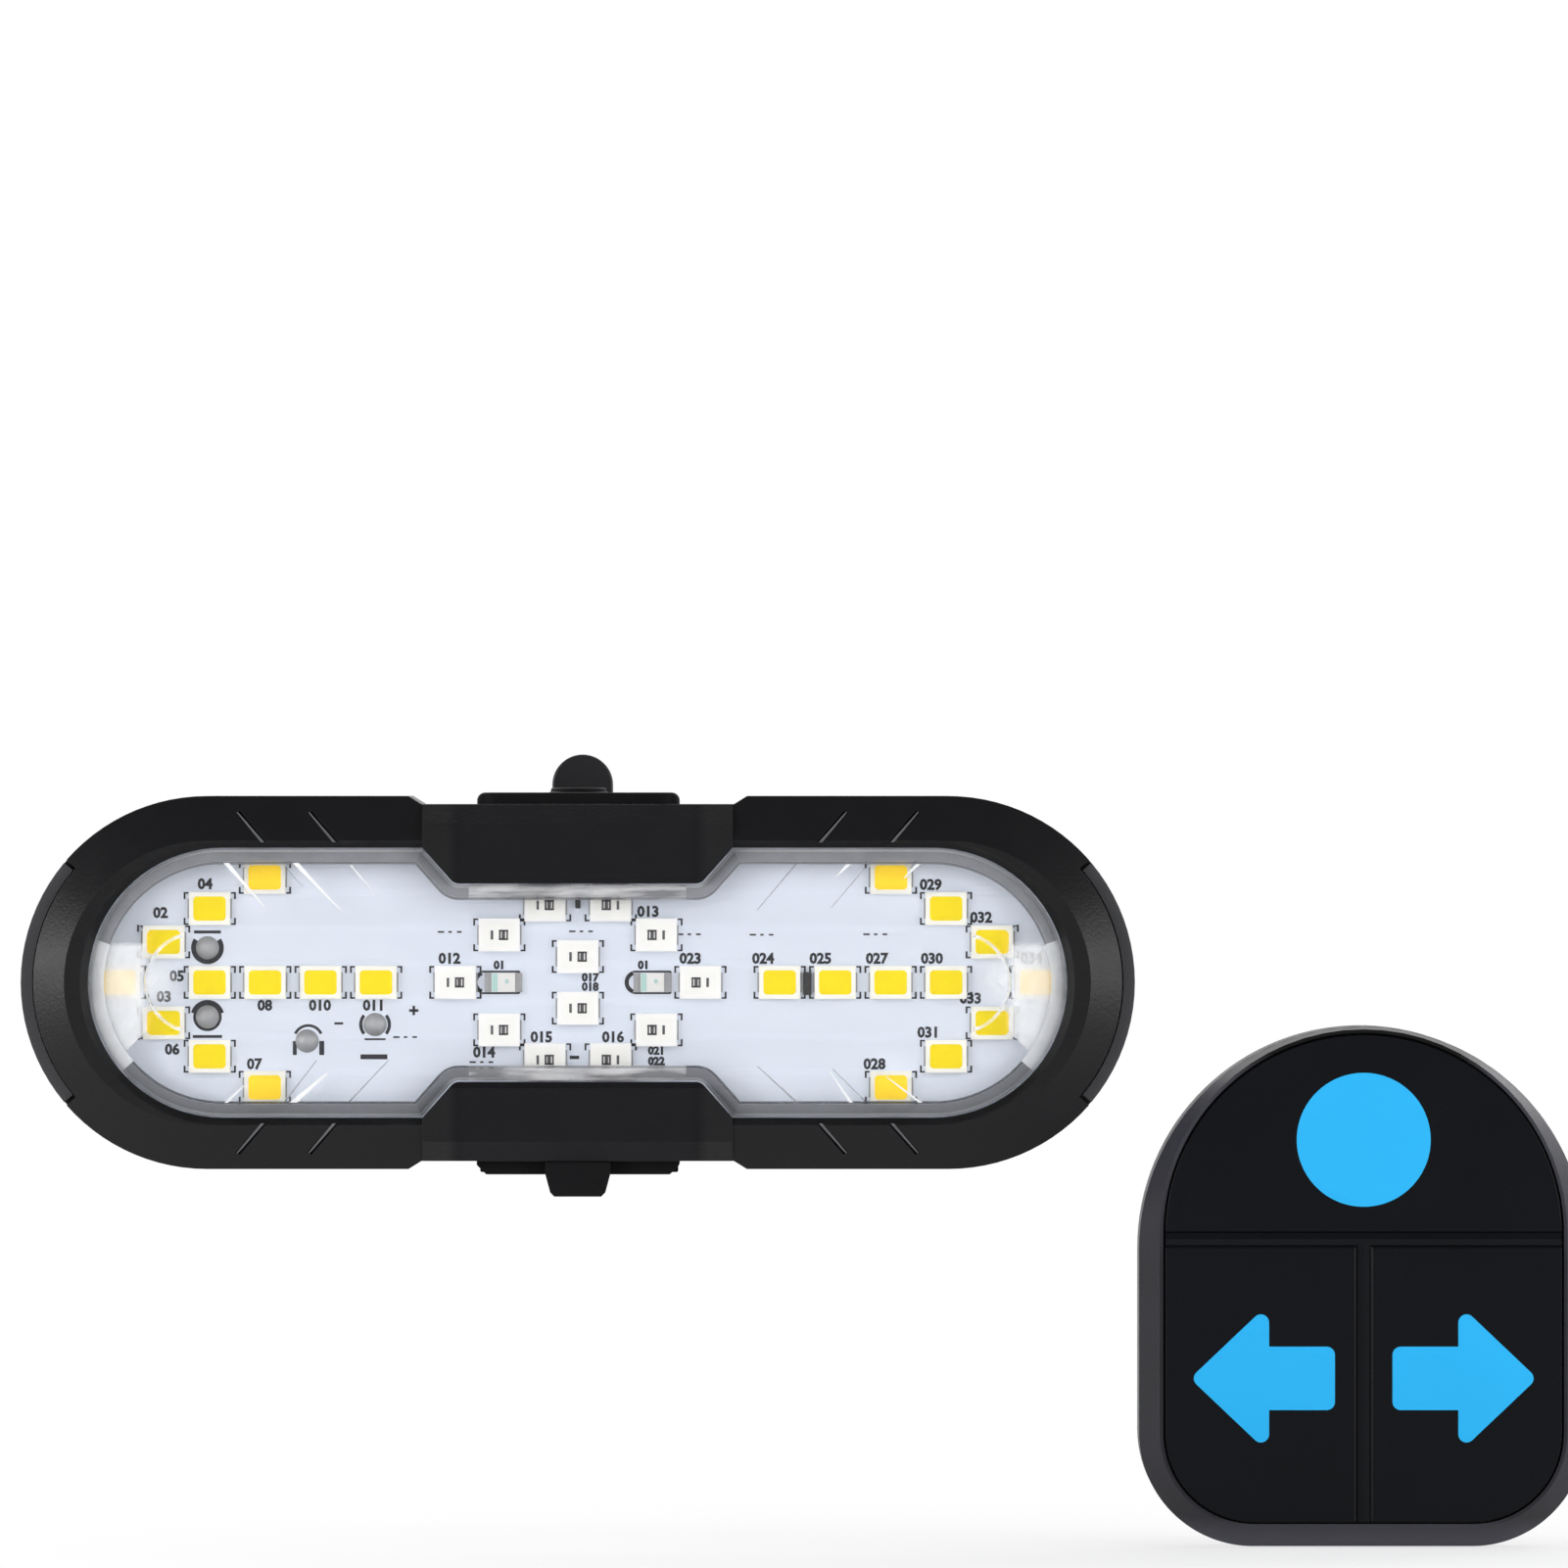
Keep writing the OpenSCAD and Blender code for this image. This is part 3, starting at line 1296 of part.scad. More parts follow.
module remote_screws() color(steel) remote_frame() remote_screw_places()
    screw(remote_screw_seat, remote_screw_l);

module bar_pad() color(rubber) bar_frame() pad(bar_r, bar_pad_t, bar_saddle_half, bar_core_h);

module bar_strap() color(rubber) bar_frame()
    strap(bar_r, bar_strap_t, bar_strap_w, bar_pin, bar_pin_angle, bar_eye_r, bar_pin_r);

module bar_strap_pins() color(steel) bar_frame() for (flip = [0, 1]) mirror([flip, 0, 0]) translate(bar_pin)
    cylinder(r = bar_pin_r, h = bar_core_h, center = true);

front_bezel();
lens();
lens_gasket();
led_board();
amber_led_frames();
amber_led_fills();
red_led_frames();
red_led_fills();
indicator_leds();
solder_joints();
housing();
power_button();
power_switch();
port_cover();
port_cover_anchor();
charging_socket();
buzzer();
battery();
battery_foam();
battery_leads();
rear_cover();
cover_screws();
post_bracket();
saddle_pad();
post_strap();
strap_pin();
strap_toggle();
release_latch();
latch_pin();
latch_spring();
remote_case();
round_key();
left_key();
right_key();
round_sign();
left_sign();
right_sign();
key_mat();
remote_board();
coin_cell();
cell_clip();
remote_rear();
remote_screws();
bar_pad();
bar_strap();
bar_strap_pins();
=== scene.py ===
"""Looks for the bicycle turn signal light and its remote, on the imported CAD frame. Metres, +Z up the post."""

import math

import bmesh
import bpy
from mathutils import Matrix, Vector


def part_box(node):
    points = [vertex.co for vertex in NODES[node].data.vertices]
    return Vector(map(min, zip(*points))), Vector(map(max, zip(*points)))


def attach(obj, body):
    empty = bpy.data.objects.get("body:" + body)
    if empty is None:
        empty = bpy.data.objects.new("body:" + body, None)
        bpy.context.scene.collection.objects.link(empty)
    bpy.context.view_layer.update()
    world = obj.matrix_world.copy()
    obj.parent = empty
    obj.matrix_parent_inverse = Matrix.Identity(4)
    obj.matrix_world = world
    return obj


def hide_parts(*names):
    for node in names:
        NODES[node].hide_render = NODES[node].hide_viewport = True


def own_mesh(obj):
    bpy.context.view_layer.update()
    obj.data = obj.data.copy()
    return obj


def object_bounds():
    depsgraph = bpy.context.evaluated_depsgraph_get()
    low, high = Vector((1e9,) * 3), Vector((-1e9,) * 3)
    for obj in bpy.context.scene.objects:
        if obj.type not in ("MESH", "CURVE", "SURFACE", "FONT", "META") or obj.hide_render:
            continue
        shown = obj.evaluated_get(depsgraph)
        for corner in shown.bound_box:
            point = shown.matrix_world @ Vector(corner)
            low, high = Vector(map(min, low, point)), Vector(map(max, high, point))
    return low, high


MM = 0.001
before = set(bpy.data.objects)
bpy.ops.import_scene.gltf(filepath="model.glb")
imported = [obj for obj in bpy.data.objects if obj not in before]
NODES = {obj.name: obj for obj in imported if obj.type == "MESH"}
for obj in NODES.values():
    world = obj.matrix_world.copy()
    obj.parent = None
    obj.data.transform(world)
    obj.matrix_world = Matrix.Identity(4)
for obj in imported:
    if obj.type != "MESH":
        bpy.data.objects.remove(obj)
CAD_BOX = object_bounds()

# Places along Y of the faces that pieces sit on
FACE_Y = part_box("front_bezel")[0].y
BOARD_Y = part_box("led_board")[0].y
LED_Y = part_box("amber_led_fills")[0].y
LENS_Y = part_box("lens")[0].y

# Sizes in millimetres, and places in millimetres from the lamp's middle, as in the part's source
# Centres of the round ends of the housing and of the window
END_X = 31.6
WINDOW_X = 30.2
# The lens: radius of its ends, gap round it, width and depth of its bevel
LENS_R = 11.4
LENS_CLEAR = 0.1
LENS_BEVEL = 1.3
LENS_FALL = 0.7
# The waist bars: width, reach into the window, run of their slanted ends, height of their edge, corner radius
BAR_W = 21
BAR_REACH = 3.05
BAR_FLARE = 2.7
BAR_Z = 8.45
BAR_CORNER = 0.9
# The scoops in the lens's ends: centre, radius where they start, half angle, slope, half angle of their line
SCOOP_X = 32.6
SCOOP_R = 4.4
SCOOP_ANGLE = 46
SCOOP_SLOPE = 0.6 / 4.6
SCOOP_LINE = 75
# The bezel's slope: where it starts and how it falls. The grooves on it: their middles and half their run
SLOPE_Z = 12.1
SLOPE = 2.4 / 3.8
GROOVES = (27.8, 21.7)
GROOVE_Z = 13.24
GROOVE_RUN = (1.1, 1.28)
# The signal LEDs in the arrows' shafts: place of the outermost and pitch
SHAFT_X = 31.4
SHAFT_PITCH = 4.73


# Shader nodes

def combine(tree, operation, *values):
    """A Math node on sockets and plain numbers."""
    node = tree.nodes.new("ShaderNodeMath")
    node.operation = operation
    for socket, value in zip(node.inputs, values):
        if isinstance(value, bpy.types.NodeSocket):
            tree.links.new(value, socket)
        else:
            socket.default_value = value
    return node.outputs[0]


def rescale(tree, factor, low, high, start=0.0, end=1.0):
    """The part of a factor from low to high, spread over start to end."""
    node = tree.nodes.new("ShaderNodeMapRange")
    for socket, value in (("From Min", low), ("From Max", high), ("To Min", start), ("To Max", end)):
        node.inputs[socket].default_value = value
    tree.links.new(factor, node.inputs["Value"])
    return node.outputs["Result"]


def mix_shaders(tree, factor, a, b, output):
    """Shows shader a, and b in its place where the factor is 1, at an output node."""
    mix = tree.nodes.new("ShaderNodeMixShader")
    tree.links.new(factor, mix.inputs["Fac"])
    tree.links.new(a.outputs[0], mix.inputs[1])
    tree.links.new(b.outputs[0], mix.inputs[2])
    tree.links.new(mix.outputs[0], tree.nodes[output].inputs["Surface"])


# Values between which most of a noise lies
NOISE_RANGE = (0.3, 0.7)
# Sockets of a Mix node for two colours and for their mix
COLOR_A, COLOR_B, COLOR_OUT = 6, 7, 2
# Radians that a Wave node runs through in one metre at a scale of 1
WAVE_RADIANS = 20


class Shader:
    """A material with one Principled shader and a few ways to add detail to it."""

    def __init__(self, name, color, roughness, **sockets):
        self.material = bpy.data.materials.new(name)
        self.material.use_nodes = True
        self.tree = self.material.node_tree
        self.bsdf = self.tree.nodes["Principled BSDF"]
        self.color = color
        self.set("Base Color", (*color, 1))
        self.set("Roughness", roughness)
        for socket, value in sockets.items():
            self.set(socket.replace("_", " "), value)
        self.place = self.tree.nodes.new("ShaderNodeTexCoord").outputs["Object"]
        self.normal = None

    def set(self, socket, value):
        self.bsdf.inputs[socket].default_value = value

    def feed(self, socket, factor):
        self.tree.links.new(factor, self.bsdf.inputs[socket])

    def noise(self, size, detail=3.0, stretch=(1, 1, 1)):
        """Noise with features of about that size, in metres."""
        mapping = self.tree.nodes.new("ShaderNodeMapping")
        mapping.inputs["Scale"].default_value = stretch
        self.tree.links.new(self.place, mapping.inputs["Vector"])
        node = self.tree.nodes.new("ShaderNodeTexNoise")
        node.inputs["Scale"].default_value = 1 / size
        node.inputs["Detail"].default_value = detail
        self.tree.links.new(mapping.outputs["Vector"], node.inputs["Vector"])
        return node.outputs["Fac"]

    def ridges(self, pitch, distortion):
        """Level ridges at that pitch, in metres."""
        node = self.tree.nodes.new("ShaderNodeTexWave")
        node.bands_direction = "Z"
        node.inputs["Scale"].default_value = 2 * math.pi / (WAVE_RADIANS * pitch)
        node.inputs["Distortion"].default_value = distortion
        self.tree.links.new(self.place, node.inputs["Vector"])
        return node.outputs["Fac"]

    def ramp(self, factor, low, high):
        """0 where a factor is low and 1 where it is high."""
        return rescale(self.tree, factor, low, high)

    def split(self, axis, fold=True):
        """One coordinate of the place on the object, as a distance from its middle where it is folded."""
        parts = self.tree.nodes.new("ShaderNodeSeparateXYZ")
        self.tree.links.new(self.place, parts.inputs[0])
        return combine(self.tree, "ABSOLUTE", parts.outputs[axis]) if fold else parts.outputs[axis]

    def sum(self, a, share, b):
        """A share of one factor added to another."""
        return combine(self.tree, "MULTIPLY_ADD", a, share, b)

    def tint(self, factor, dark, light):
        """Base colour that varies between two colours, or two shares of the material's own."""
        mix = self.tree.nodes.new("ShaderNodeMix")
        mix.data_type = "RGBA"
        for socket, share in ((COLOR_A, dark), (COLOR_B, light)):
            tone = share if isinstance(share, tuple) else tuple(c * share for c in self.color)
            mix.inputs[socket].default_value = (*tone, 1)
        self.tree.links.new(factor, mix.inputs["Factor"])
        self.feed("Base Color", mix.outputs[COLOR_OUT])

    def vary(self, socket, factor, low, high):
        """A socket that follows a noise between two values."""
        self.feed(socket, rescale(self.tree, factor, *NOISE_RANGE, low, high))

    def bump(self, factor, height, strength=1.0):
        """Adds relief of that height, in metres."""
        node = self.tree.nodes.new("ShaderNodeBump")
        node.inputs["Strength"].default_value = strength
        node.inputs["Distance"].default_value = height
        self.tree.links.new(factor, node.inputs["Height"])
        if self.normal is not None:
            self.tree.links.new(self.normal, node.inputs["Normal"])
        self.normal = node.outputs["Normal"]
        self.feed("Normal", self.normal)


# Materials

def moulded(name, color, roughness, grain, height, spread=0.12, gloss=0.5):
    """Moulded plastic: fine grain, faint flow marks in its colour and gloss."""
    s = Shader(name, color, roughness, Specular_IOR_Level=gloss)
    s.tint(s.noise(9 * MM, 4), 1 - spread, 1 + spread)
    s.vary("Roughness", s.noise(3 * MM, 4), roughness - 0.03, roughness + 0.03)
    s.bump(s.noise(grain, 3), height)
    return s


def metal(name, color, roughness, lines):
    """Plated metal with fine drawn lines."""
    s = Shader(name, color, roughness, Metallic=1.0)
    s.tint(s.noise(2 * MM, 4), 0.85, 1.05)
    s.vary("Roughness", s.noise(0.5 * MM, 3, lines), roughness - 0.08, roughness + 0.1)
    s.bump(s.noise(0.25 * MM, 2, lines), 0.004 * MM)
    return s


def rubber(name, color, roughness=0.6):
    """Silicone rubber: soft sheen, a dusty bloom and a fine moulded skin."""
    s = Shader(name, color, roughness, Specular_IOR_Level=0.1, Sheen_Weight=0.02, Sheen_Roughness=0.5)
    s.tint(s.noise(4 * MM, 5), 0.82, 1.25)
    s.vary("Roughness", s.noise(1.2 * MM, 4), roughness - 0.08, roughness + 0.08)
    s.bump(s.noise(0.18 * MM, 4), 0.012 * MM)
    return s


def clear_lens():
    """Clear plastic with a faint swell."""
    s = Shader("lens_clear", (0.993, 0.995, 1.0), 0.02, IOR=1.3, Transmission_Weight=1.0,
               Specular_Tint=(0.6, 0.6, 0.6, 1))
    s.bump(s.noise(14 * MM, 2), 0.006 * MM)
    return s


def painted_skin(name, color, cover, spread=0.05):
    """A thin skin of painted light or shade on the lens, with a fine grain, which covers that share of what
    lies behind it.
    """
    s = Shader(name, color, 0.35, Specular_IOR_Level=0.3)
    grain = s.noise(2.2 * MM, 3)
    s.tint(grain, 1 - spread, 1 + spread)
    s.vary("Alpha", grain, cover - 0.04, cover + 0.04)
    s.bump(s.noise(0.5 * MM, 3), 0.003 * MM)
    return s


def streaked(name, color, cover, dark):
    """Painted reflection on the lens's straight edges: a skin with light and dark streaks along it."""
    s = painted_skin(name, color, cover)
    s.tint(s.ramp(s.noise(1.1 * MM, 3, (0.22, 1, 1.6)), 0.4, 0.62), dark, 1.0)
    return s


def board_mask():
    """White solder mask, with painted light along its ends and its top and bottom edges against the shade
    there, and the copper tracks faintly raised under it.
    """
    s = Shader("board_white", (0.735, 0.782, 0.877), 0.45, Specular_IOR_Level=0.3)
    tracks = s.ramp(s.ridges(3.1 * MM, 0.4), 0.82, 0.95)
    # Painted light: the mask is paler towards its ends and towards its top and bottom edges
    ends = s.ramp(s.split("X"), 32 * MM, 39 * MM)
    edges = s.ramp(s.split("Z"), 5.5 * MM, 9 * MM)
    s.tint(s.sum(tracks, 0.15, s.sum(ends, 1.0, edges)), 0.99, 1.13)
    s.bump(tracks, 0.02 * MM, 0.5)
    s.bump(s.noise(0.3 * MM, 3), 0.004 * MM)
    return s


def bezel_skin():
    """Grained black plastic, duller on the two waist bars."""
    s = moulded("bezel_black", (0.0052, 0.0052, 0.0062), 0.37, 0.28 * MM, 0.025 * MM)
    ends = s.ramp(s.split("X"), (BAR_W / 2 - 1.1) * MM, (BAR_W / 2 + 1.5) * MM)
    s.vary("Specular IOR Level", ends, 0.12, 0.28)
    s.tint(s.sum(s.noise(9 * MM, 4), 0.3, ends), 1.8, 0.85)
    return s


def remote_skin():
    """Satin grey plastic, with painted shade round the top of the case and painted light up its sides and along
    its foot.
    """
    s = moulded("remote_grey", (0.052, 0.052, 0.066), 0.42, 0.22 * MM, 0.012 * MM, gloss=0.2)
    # Two heights between which the painted tone changes, and by how much: painted light at the foot and up the
    # sides, painted shade round the top
    foot, sides, top = (-45.5, -47.6, 0.8), (-24, -14, 0.32), (-8.4, -5.4, -0.7)
    up = s.split("Z", fold=False)
    tone = s.ramp(s.noise(9 * MM, 4), -0.9, 5.1)
    for low, high, change in (foot, sides, top):
        tone = s.sum(s.ramp(up, low * MM, high * MM), change, tone)
    s.tint(tone, 0.0, 1.45)
    return s


def phosphor():
    """Amber phosphor with a painted glow, though the LEDs are unlit, strongest in the LEDs nearest to the
    lens's edges.
    """
    s = Shader("phosphor_amber", (1.0, 0.8, 0.006), 0.45, Specular_IOR_Level=0.15)
    tips = s.ramp(s.split("X"), 36 * MM, 37 * MM)
    edges = s.sum(tips, 1.0, s.ramp(s.split("Z"), 7.4 * MM, 8.4 * MM))
    s.tint(s.sum(s.noise(1.1 * MM, 3), 0.3, edges), (0.965, 0.765, 0.006), (0.97, 0.655, 0.026))
    # Painted glow: emission on the unlit LEDs, strongest at the lens's tips and edges
    s.set("Emission Color", (1.0, 0.66, 0.05, 1))
    s.feed("Emission Strength", s.ramp(edges, -0.1, 3.8))
    s.bump(s.noise(0.25 * MM, 3), 0.02 * MM)
    return s


BEZEL = bezel_skin()
HOUSING = moulded("housing_black", (0.0075, 0.0075, 0.0085), 0.4, 0.24 * MM, 0.02 * MM, gloss=0.3)
# The side panels' paler colour is painted light, standing in for the light that their rims catch
PANEL = moulded("panel_satin", (0.043, 0.043, 0.048), 0.32, 0.3 * MM, 0.004 * MM, gloss=0.5)
BRACKET = moulded("bracket_black", (0.009, 0.009, 0.0105), 0.46, 0.3 * MM, 0.03 * MM, gloss=0.3)
LATCH = moulded("latch_grey", (0.016, 0.016, 0.018), 0.35, 0.2 * MM, 0.01 * MM, gloss=0.35)
SWITCH = moulded("switch_black", (0.02, 0.02, 0.02), 0.5, 0.2 * MM, 0.01 * MM)
REMOTE = remote_skin()
KEY = moulded("key_gloss", (0.0036, 0.004, 0.0056), 0.25, 0.35 * MM, 0.002 * MM, 0.2, 0.12)
SIGN = moulded("sign_blue", (0.0215, 0.435, 0.855), 0.42, 0.3 * MM, 0.006 * MM, 0.03, 0.2)
LED_CREAM = moulded("led_cream", (0.95, 0.93, 0.84), 0.4, 0.2 * MM, 0.006 * MM, 0.02, 0.3)
LED_WHITE = moulded("led_white", (0.95, 0.94, 0.92), 0.4, 0.2 * MM, 0.006 * MM, 0.02, 0.3)
RESIN = moulded("resin_pale", (0.95, 0.94, 0.9), 0.25, 0.4 * MM, 0.01 * MM, 0.03, 0.3)
INDICATOR = moulded("indicator_clear", (0.8, 0.79, 0.77), 0.2, 0.4 * MM, 0.01 * MM, 0.1, 0.3)
TEAL = moulded("indicator_teal", (0.45, 0.66, 0.62), 0.3, 0.3 * MM, 0.006 * MM, 0.1, 0.3)
WRAP = moulded("battery_wrap", (0.06, 0.13, 0.28), 0.35, 0.6 * MM, 0.02 * MM)
FOAM = rubber("foam_black", (0.02, 0.02, 0.02), 0.9)
LEAD = moulded("lead_red", (0.5, 0.02, 0.02), 0.4, 0.3 * MM, 0.01 * MM)
GREEN = moulded("board_green", (0.02, 0.12, 0.05), 0.35, 0.3 * MM, 0.006 * MM)
RUBBER = rubber("rubber_black", (0.0045, 0.0045, 0.0053))
MAT = rubber("mat_grey", (0.055, 0.055, 0.06))
STEEL = metal("steel", (0.6, 0.61, 0.63), 0.28, (1, 1, 8))
SOLDER = metal("solder", (0.4, 0.4, 0.41), 0.5, (1, 1, 1))
SOLDER.set("Metallic", 0.45)
# Painted highlight laid in the bezel's grooves
GROOVE_HIGHLIGHT = moulded("groove_highlight", (0.14, 0.14, 0.148), 0.35, 0.25 * MM, 0.01 * MM, 0.35, 0.3)
LENS = clear_lens()
BOARD = board_mask()
PHOSPHOR = phosphor()
INK = moulded("ink_black", (0.016, 0.017, 0.024), 0.6, 0.2 * MM, 0.004 * MM, 0.3)
DIE = moulded("die_grey", (0.09, 0.09, 0.095), 0.35, 0.2 * MM, 0.004 * MM, 0.3)

LOOKS = {
    "front_bezel": BEZEL, "lens": LENS, "lens_gasket": RUBBER, "led_board": BOARD,
    "amber_led_frames": LED_CREAM, "amber_led_fills": PHOSPHOR, "red_led_frames": LED_WHITE,
    "red_led_fills": RESIN, "indicator_leds": INDICATOR, "solder_joints": SOLDER, "housing": HOUSING,
    "power_button": RUBBER, "power_switch": SWITCH, "port_cover": RUBBER, "port_cover_anchor": RUBBER,
    "charging_socket": STEEL, "buzzer": SWITCH, "battery": WRAP, "battery_foam": FOAM, "battery_leads": LEAD,
    "rear_cover": HOUSING, "cover_screws": STEEL, "post_bracket": BRACKET, "saddle_pad": RUBBER,
    "post_strap": RUBBER, "strap_pin": STEEL, "strap_toggle": BRACKET, "release_latch": LATCH,
    "latch_pin": STEEL, "latch_spring": STEEL, "remote_case": REMOTE, "round_key": KEY, "left_key": KEY,
    "right_key": KEY, "round_sign": SIGN, "left_sign": SIGN, "right_sign": SIGN, "key_mat": MAT,
    "remote_board": GREEN, "coin_cell": STEEL, "cell_clip": STEEL, "remote_rear": REMOTE,
    "remote_screws": STEEL, "bar_pad": RUBBER, "bar_strap": RUBBER, "bar_strap_pins": STEEL,
}
for node, look in LOOKS.items():
    NODES[node].data.materials.clear()
    NODES[node].data.materials.append(look.material)

# The housing's side panels, which are smoother than the rest of it and paler, with painted light: the radius
# they lie outside, their spread in height for each unit out from the end's centre, and how far a face on them
# may turn to the rear
PANEL_R = 15.5
PANEL_SPREAD = 0.86
PANEL_TURN = 0.5
NODES["housing"].data.materials.append(PANEL.material)
for face in NODES["housing"].data.polygons:
    out, up = abs(face.center.x) - END_X * MM, abs(face.center.z)
    on_end = out > 0 and up < PANEL_SPREAD * out and math.hypot(out, up) > PANEL_R * MM
    if on_end and face.normal.y < PANEL_TURN:
        face.material_index = 1

# Width of the rounding that the moulds leave on each piece's edges, in millimetres
EDGES = {
    "front_bezel": 0.16, "housing": 0.3, "rear_cover": 0.25, "post_bracket": 0.3, "release_latch": 0.3,
    "power_button": 0.3, "port_cover": 0.15, "port_cover_anchor": 0.15, "remote_case": 0.12,
    "remote_rear": 0.25, "round_key": 0.06, "left_key": 0.06, "right_key": 0.06,
}
# Angles in degrees below which faces count as one, and above which an edge is rounded
FLAT_ANGLE = 0.6
EDGE_ANGLE = 24
# Distance at which a node's vertices are one, in millimetres
WELD = 0.0005


def soften(obj, width):
    """Rounds an object's edges with modifiers, which leave its own mesh as it is."""
    if "custom_normal" in obj.data.attributes:
        obj.data.attributes.remove(obj.data.attributes["custom_normal"])
    for face in obj.data.polygons:
        face.use_smooth = True
    weld = obj.modifiers.new("weld", "WELD")
    weld.merge_threshold = WELD * MM
    flat = obj.modifiers.new("flat", "DECIMATE")
    flat.decimate_type = "DISSOLVE"
    flat.angle_limit = math.radians(FLAT_ANGLE)
    bevel = obj.modifiers.new("edges", "BEVEL")
    bevel.width = width * MM
    bevel.segments = 3
    bevel.limit_method = "ANGLE"
    bevel.angle_limit = math.radians(EDGE_ANGLE)
    bevel.harden_normals = True
    bevel.use_clamp_overlap = True


for node, width in EDGES.items():
    soften(NODES[node], width)


# Ways to make pieces

def piece(name, bm, look, smooth=False):
    """Turns a bmesh into an object that rides on the set's own body."""
    mesh = bpy.data.meshes.new(name)
    bmesh.ops.recalc_face_normals(bm, faces=bm.faces)
    bm.to_mesh(mesh)
    bm.free()
    for face in mesh.polygons:
        face.use_smooth = smooth
    mesh.materials.append(look.material)
    obj = bpy.data.objects.new(name, mesh)
    bpy.context.scene.collection.objects.link(obj)
    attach(obj, "set")
    return obj


def prism(bm, outline, y0, y1):
    """Extrudes an outline of (x, z) in millimetres on the lamp's face between two depths in metres."""
    front = [bm.verts.new((x * MM, y0, z * MM)) for x, z in outline]
    back = [bm.verts.new((x * MM, y1, z * MM)) for x, z in outline]
    bm.faces.new(front)
    bm.faces.new(back[::-1])
    for i in range(len(outline)):
        j = (i + 1) % len(outline)
        bm.faces.new((front[i], back[i], back[j], front[j]))


def rect(x, z, w, h):
    return [(x - w / 2, z - h / 2), (x + w / 2, z - h / 2), (x + w / 2, z + h / 2), (x - w / 2, z + h / 2)]


# Board

# LED places as in the part's source: across and up the face
AMBER = [(end * (END_X + x), side * z)
         for end in (-1, 1) for x, z in ((7.4, 0), (3.7, 3.45), (-0.2, 6.3), (-4.9, 8.95))
         for side in ((1, -1) if z else (1,))]
AMBER += [(end * (SHAFT_X - k * SHAFT_PITCH), 0) for end in (-1, 1) for k in range(4)]
RED = [(end * x, side * z) for x, z in ((10.45, 0), (6.7, 4.05), (2.8, 6.6), (0, 2.2))
       for end in ((-1, 1) if x else (1,)) for side in ((-1, 1) if z else (1,))]

# The ink's front, and the depth that what sits on the board is sunk to
INK_Y = BOARD_Y - 0.012 * MM
SUNK_Y = BOARD_Y + 0.004 * MM
# Half the thickness of a digit and how much bolder it is than its font
DIGIT_T = 0.006
DIGIT_BOLD = 0.055
# Corner ticks beside an LED: place from its middle, and size
TICKS = ((2.15, 1.05, 0.16, 0.5), (2.02, 1.33, 0.42, 0.14))
# Plain numbers beside the LEDs: height of the font, then places
NUMBER_SIZE = 1.24
NUMBERS = (
    (-31.8, 8.36, "04"), (-35.6, 5.9, "02"), (-34.2, 0.5, "05"), (-35.3, -1.25, "03"),
    (-34.6, -5.75, "06"), (-26.7, -2.0, "08"), (-22.0, -2.0, "010"), (-17.4, -2.0, "011"),
    (-10.95, 2.0, "012"), (9.6, 2.0, "023"), (15.8, 2.0, "024"), (20.7, 2.0, "025"), (25.5, 2.0, "027"),
    (30.2, 2.0, "030"), (30.1, 8.3, "029"), (34.4, 5.5, "032"), (33.5, -1.4, "033"), (29.9, -4.3, "031"),
    (38.6, 2.0, "034"), (6.0, 6.0, "013"), (-8.0, -6.0, "014"), (-3.1, -4.7, "015"), (3.0, -4.7, "016"),
    (25.3, -7.0, "028"), (-27.6, -7.0, "07"),
)
SMALL_NUMBER_SIZE = 0.94
SMALL_NUMBERS = (
    (1.05, 0.4, "017"), (1.05, -0.4, "018"), (6.7, -5.85, "021"), (6.7, -6.75, "022"), (-6.7, 1.45, "01"),
    (5.6, 1.45, "01"),
)
# Arcs round the solder points and battery pads: centre, two radii, start and sweep in degrees, blocks
ARCS = (
    (-31.6, 2.95, 0.95, 1.4, -215, 250, 28), (-31.6, -2.95, 0.95, 1.45, 15, 150, 20),
    (-31.6, -2.95, 0.95, 1.22, 165, 210, 24), (-23.0, -4.9, 1.1, 1.34, 25, 130, 16),
    (-17.3, -3.6, 1.08, 1.36, 140, 80, 12), (-17.3, -3.6, 1.08, 1.36, -40, 80, 12),
)
# Bars beside the solder points and battery pads, and the pads' plus and minus: place and size
BARS = (
    (-31.6, 4.3, 2.3, 0.26), (-31.6, -4.62, 2.5, 0.24), (-24.15, -5.6, 0.34, 1.2), (-21.85, -5.6, 0.42, 1.2),
    (-17.3, -4.85, 1.8, 0.16), (-20.4, -3.5, 0.75, 0.2), (-14.0, -2.4, 0.8, 0.22), (-14.0, -2.4, 0.22, 0.8),
    (-17.4, -6.35, 2.3, 0.42), (-0.3, -6.4, 0.8, 0.3),
)
# Outlines of the indicator LEDs: their middles, then bars and an arc from there
OUTLINES = (-6.8, 6.1)
OUTLINE_BARS = ((0.2, -0.92, 3.2, 0.16), (0.2, 0.92, 3.2, 0.16), (1.78, 0, 0.2, 1.9))
OUTLINE_ARC = (-1.1, 0, 0.66, 1.02, 110, 140, 14)
# Rows of small dashes where unused parts would go: their middles, then pitch, widths and height of the dashes
DASH_ROWS = ((-10.9, 4.3), (9.5, 4.1), (15.7, 4.06), (25.4, 4.1), (0.3, 4.35), (-14.7, -4.67), (-8.2, -6.8))
DASH_PITCH = 0.78
DASH_WIDTHS = (0.55, 0.3, 0.4)
DASH_H = 0.15


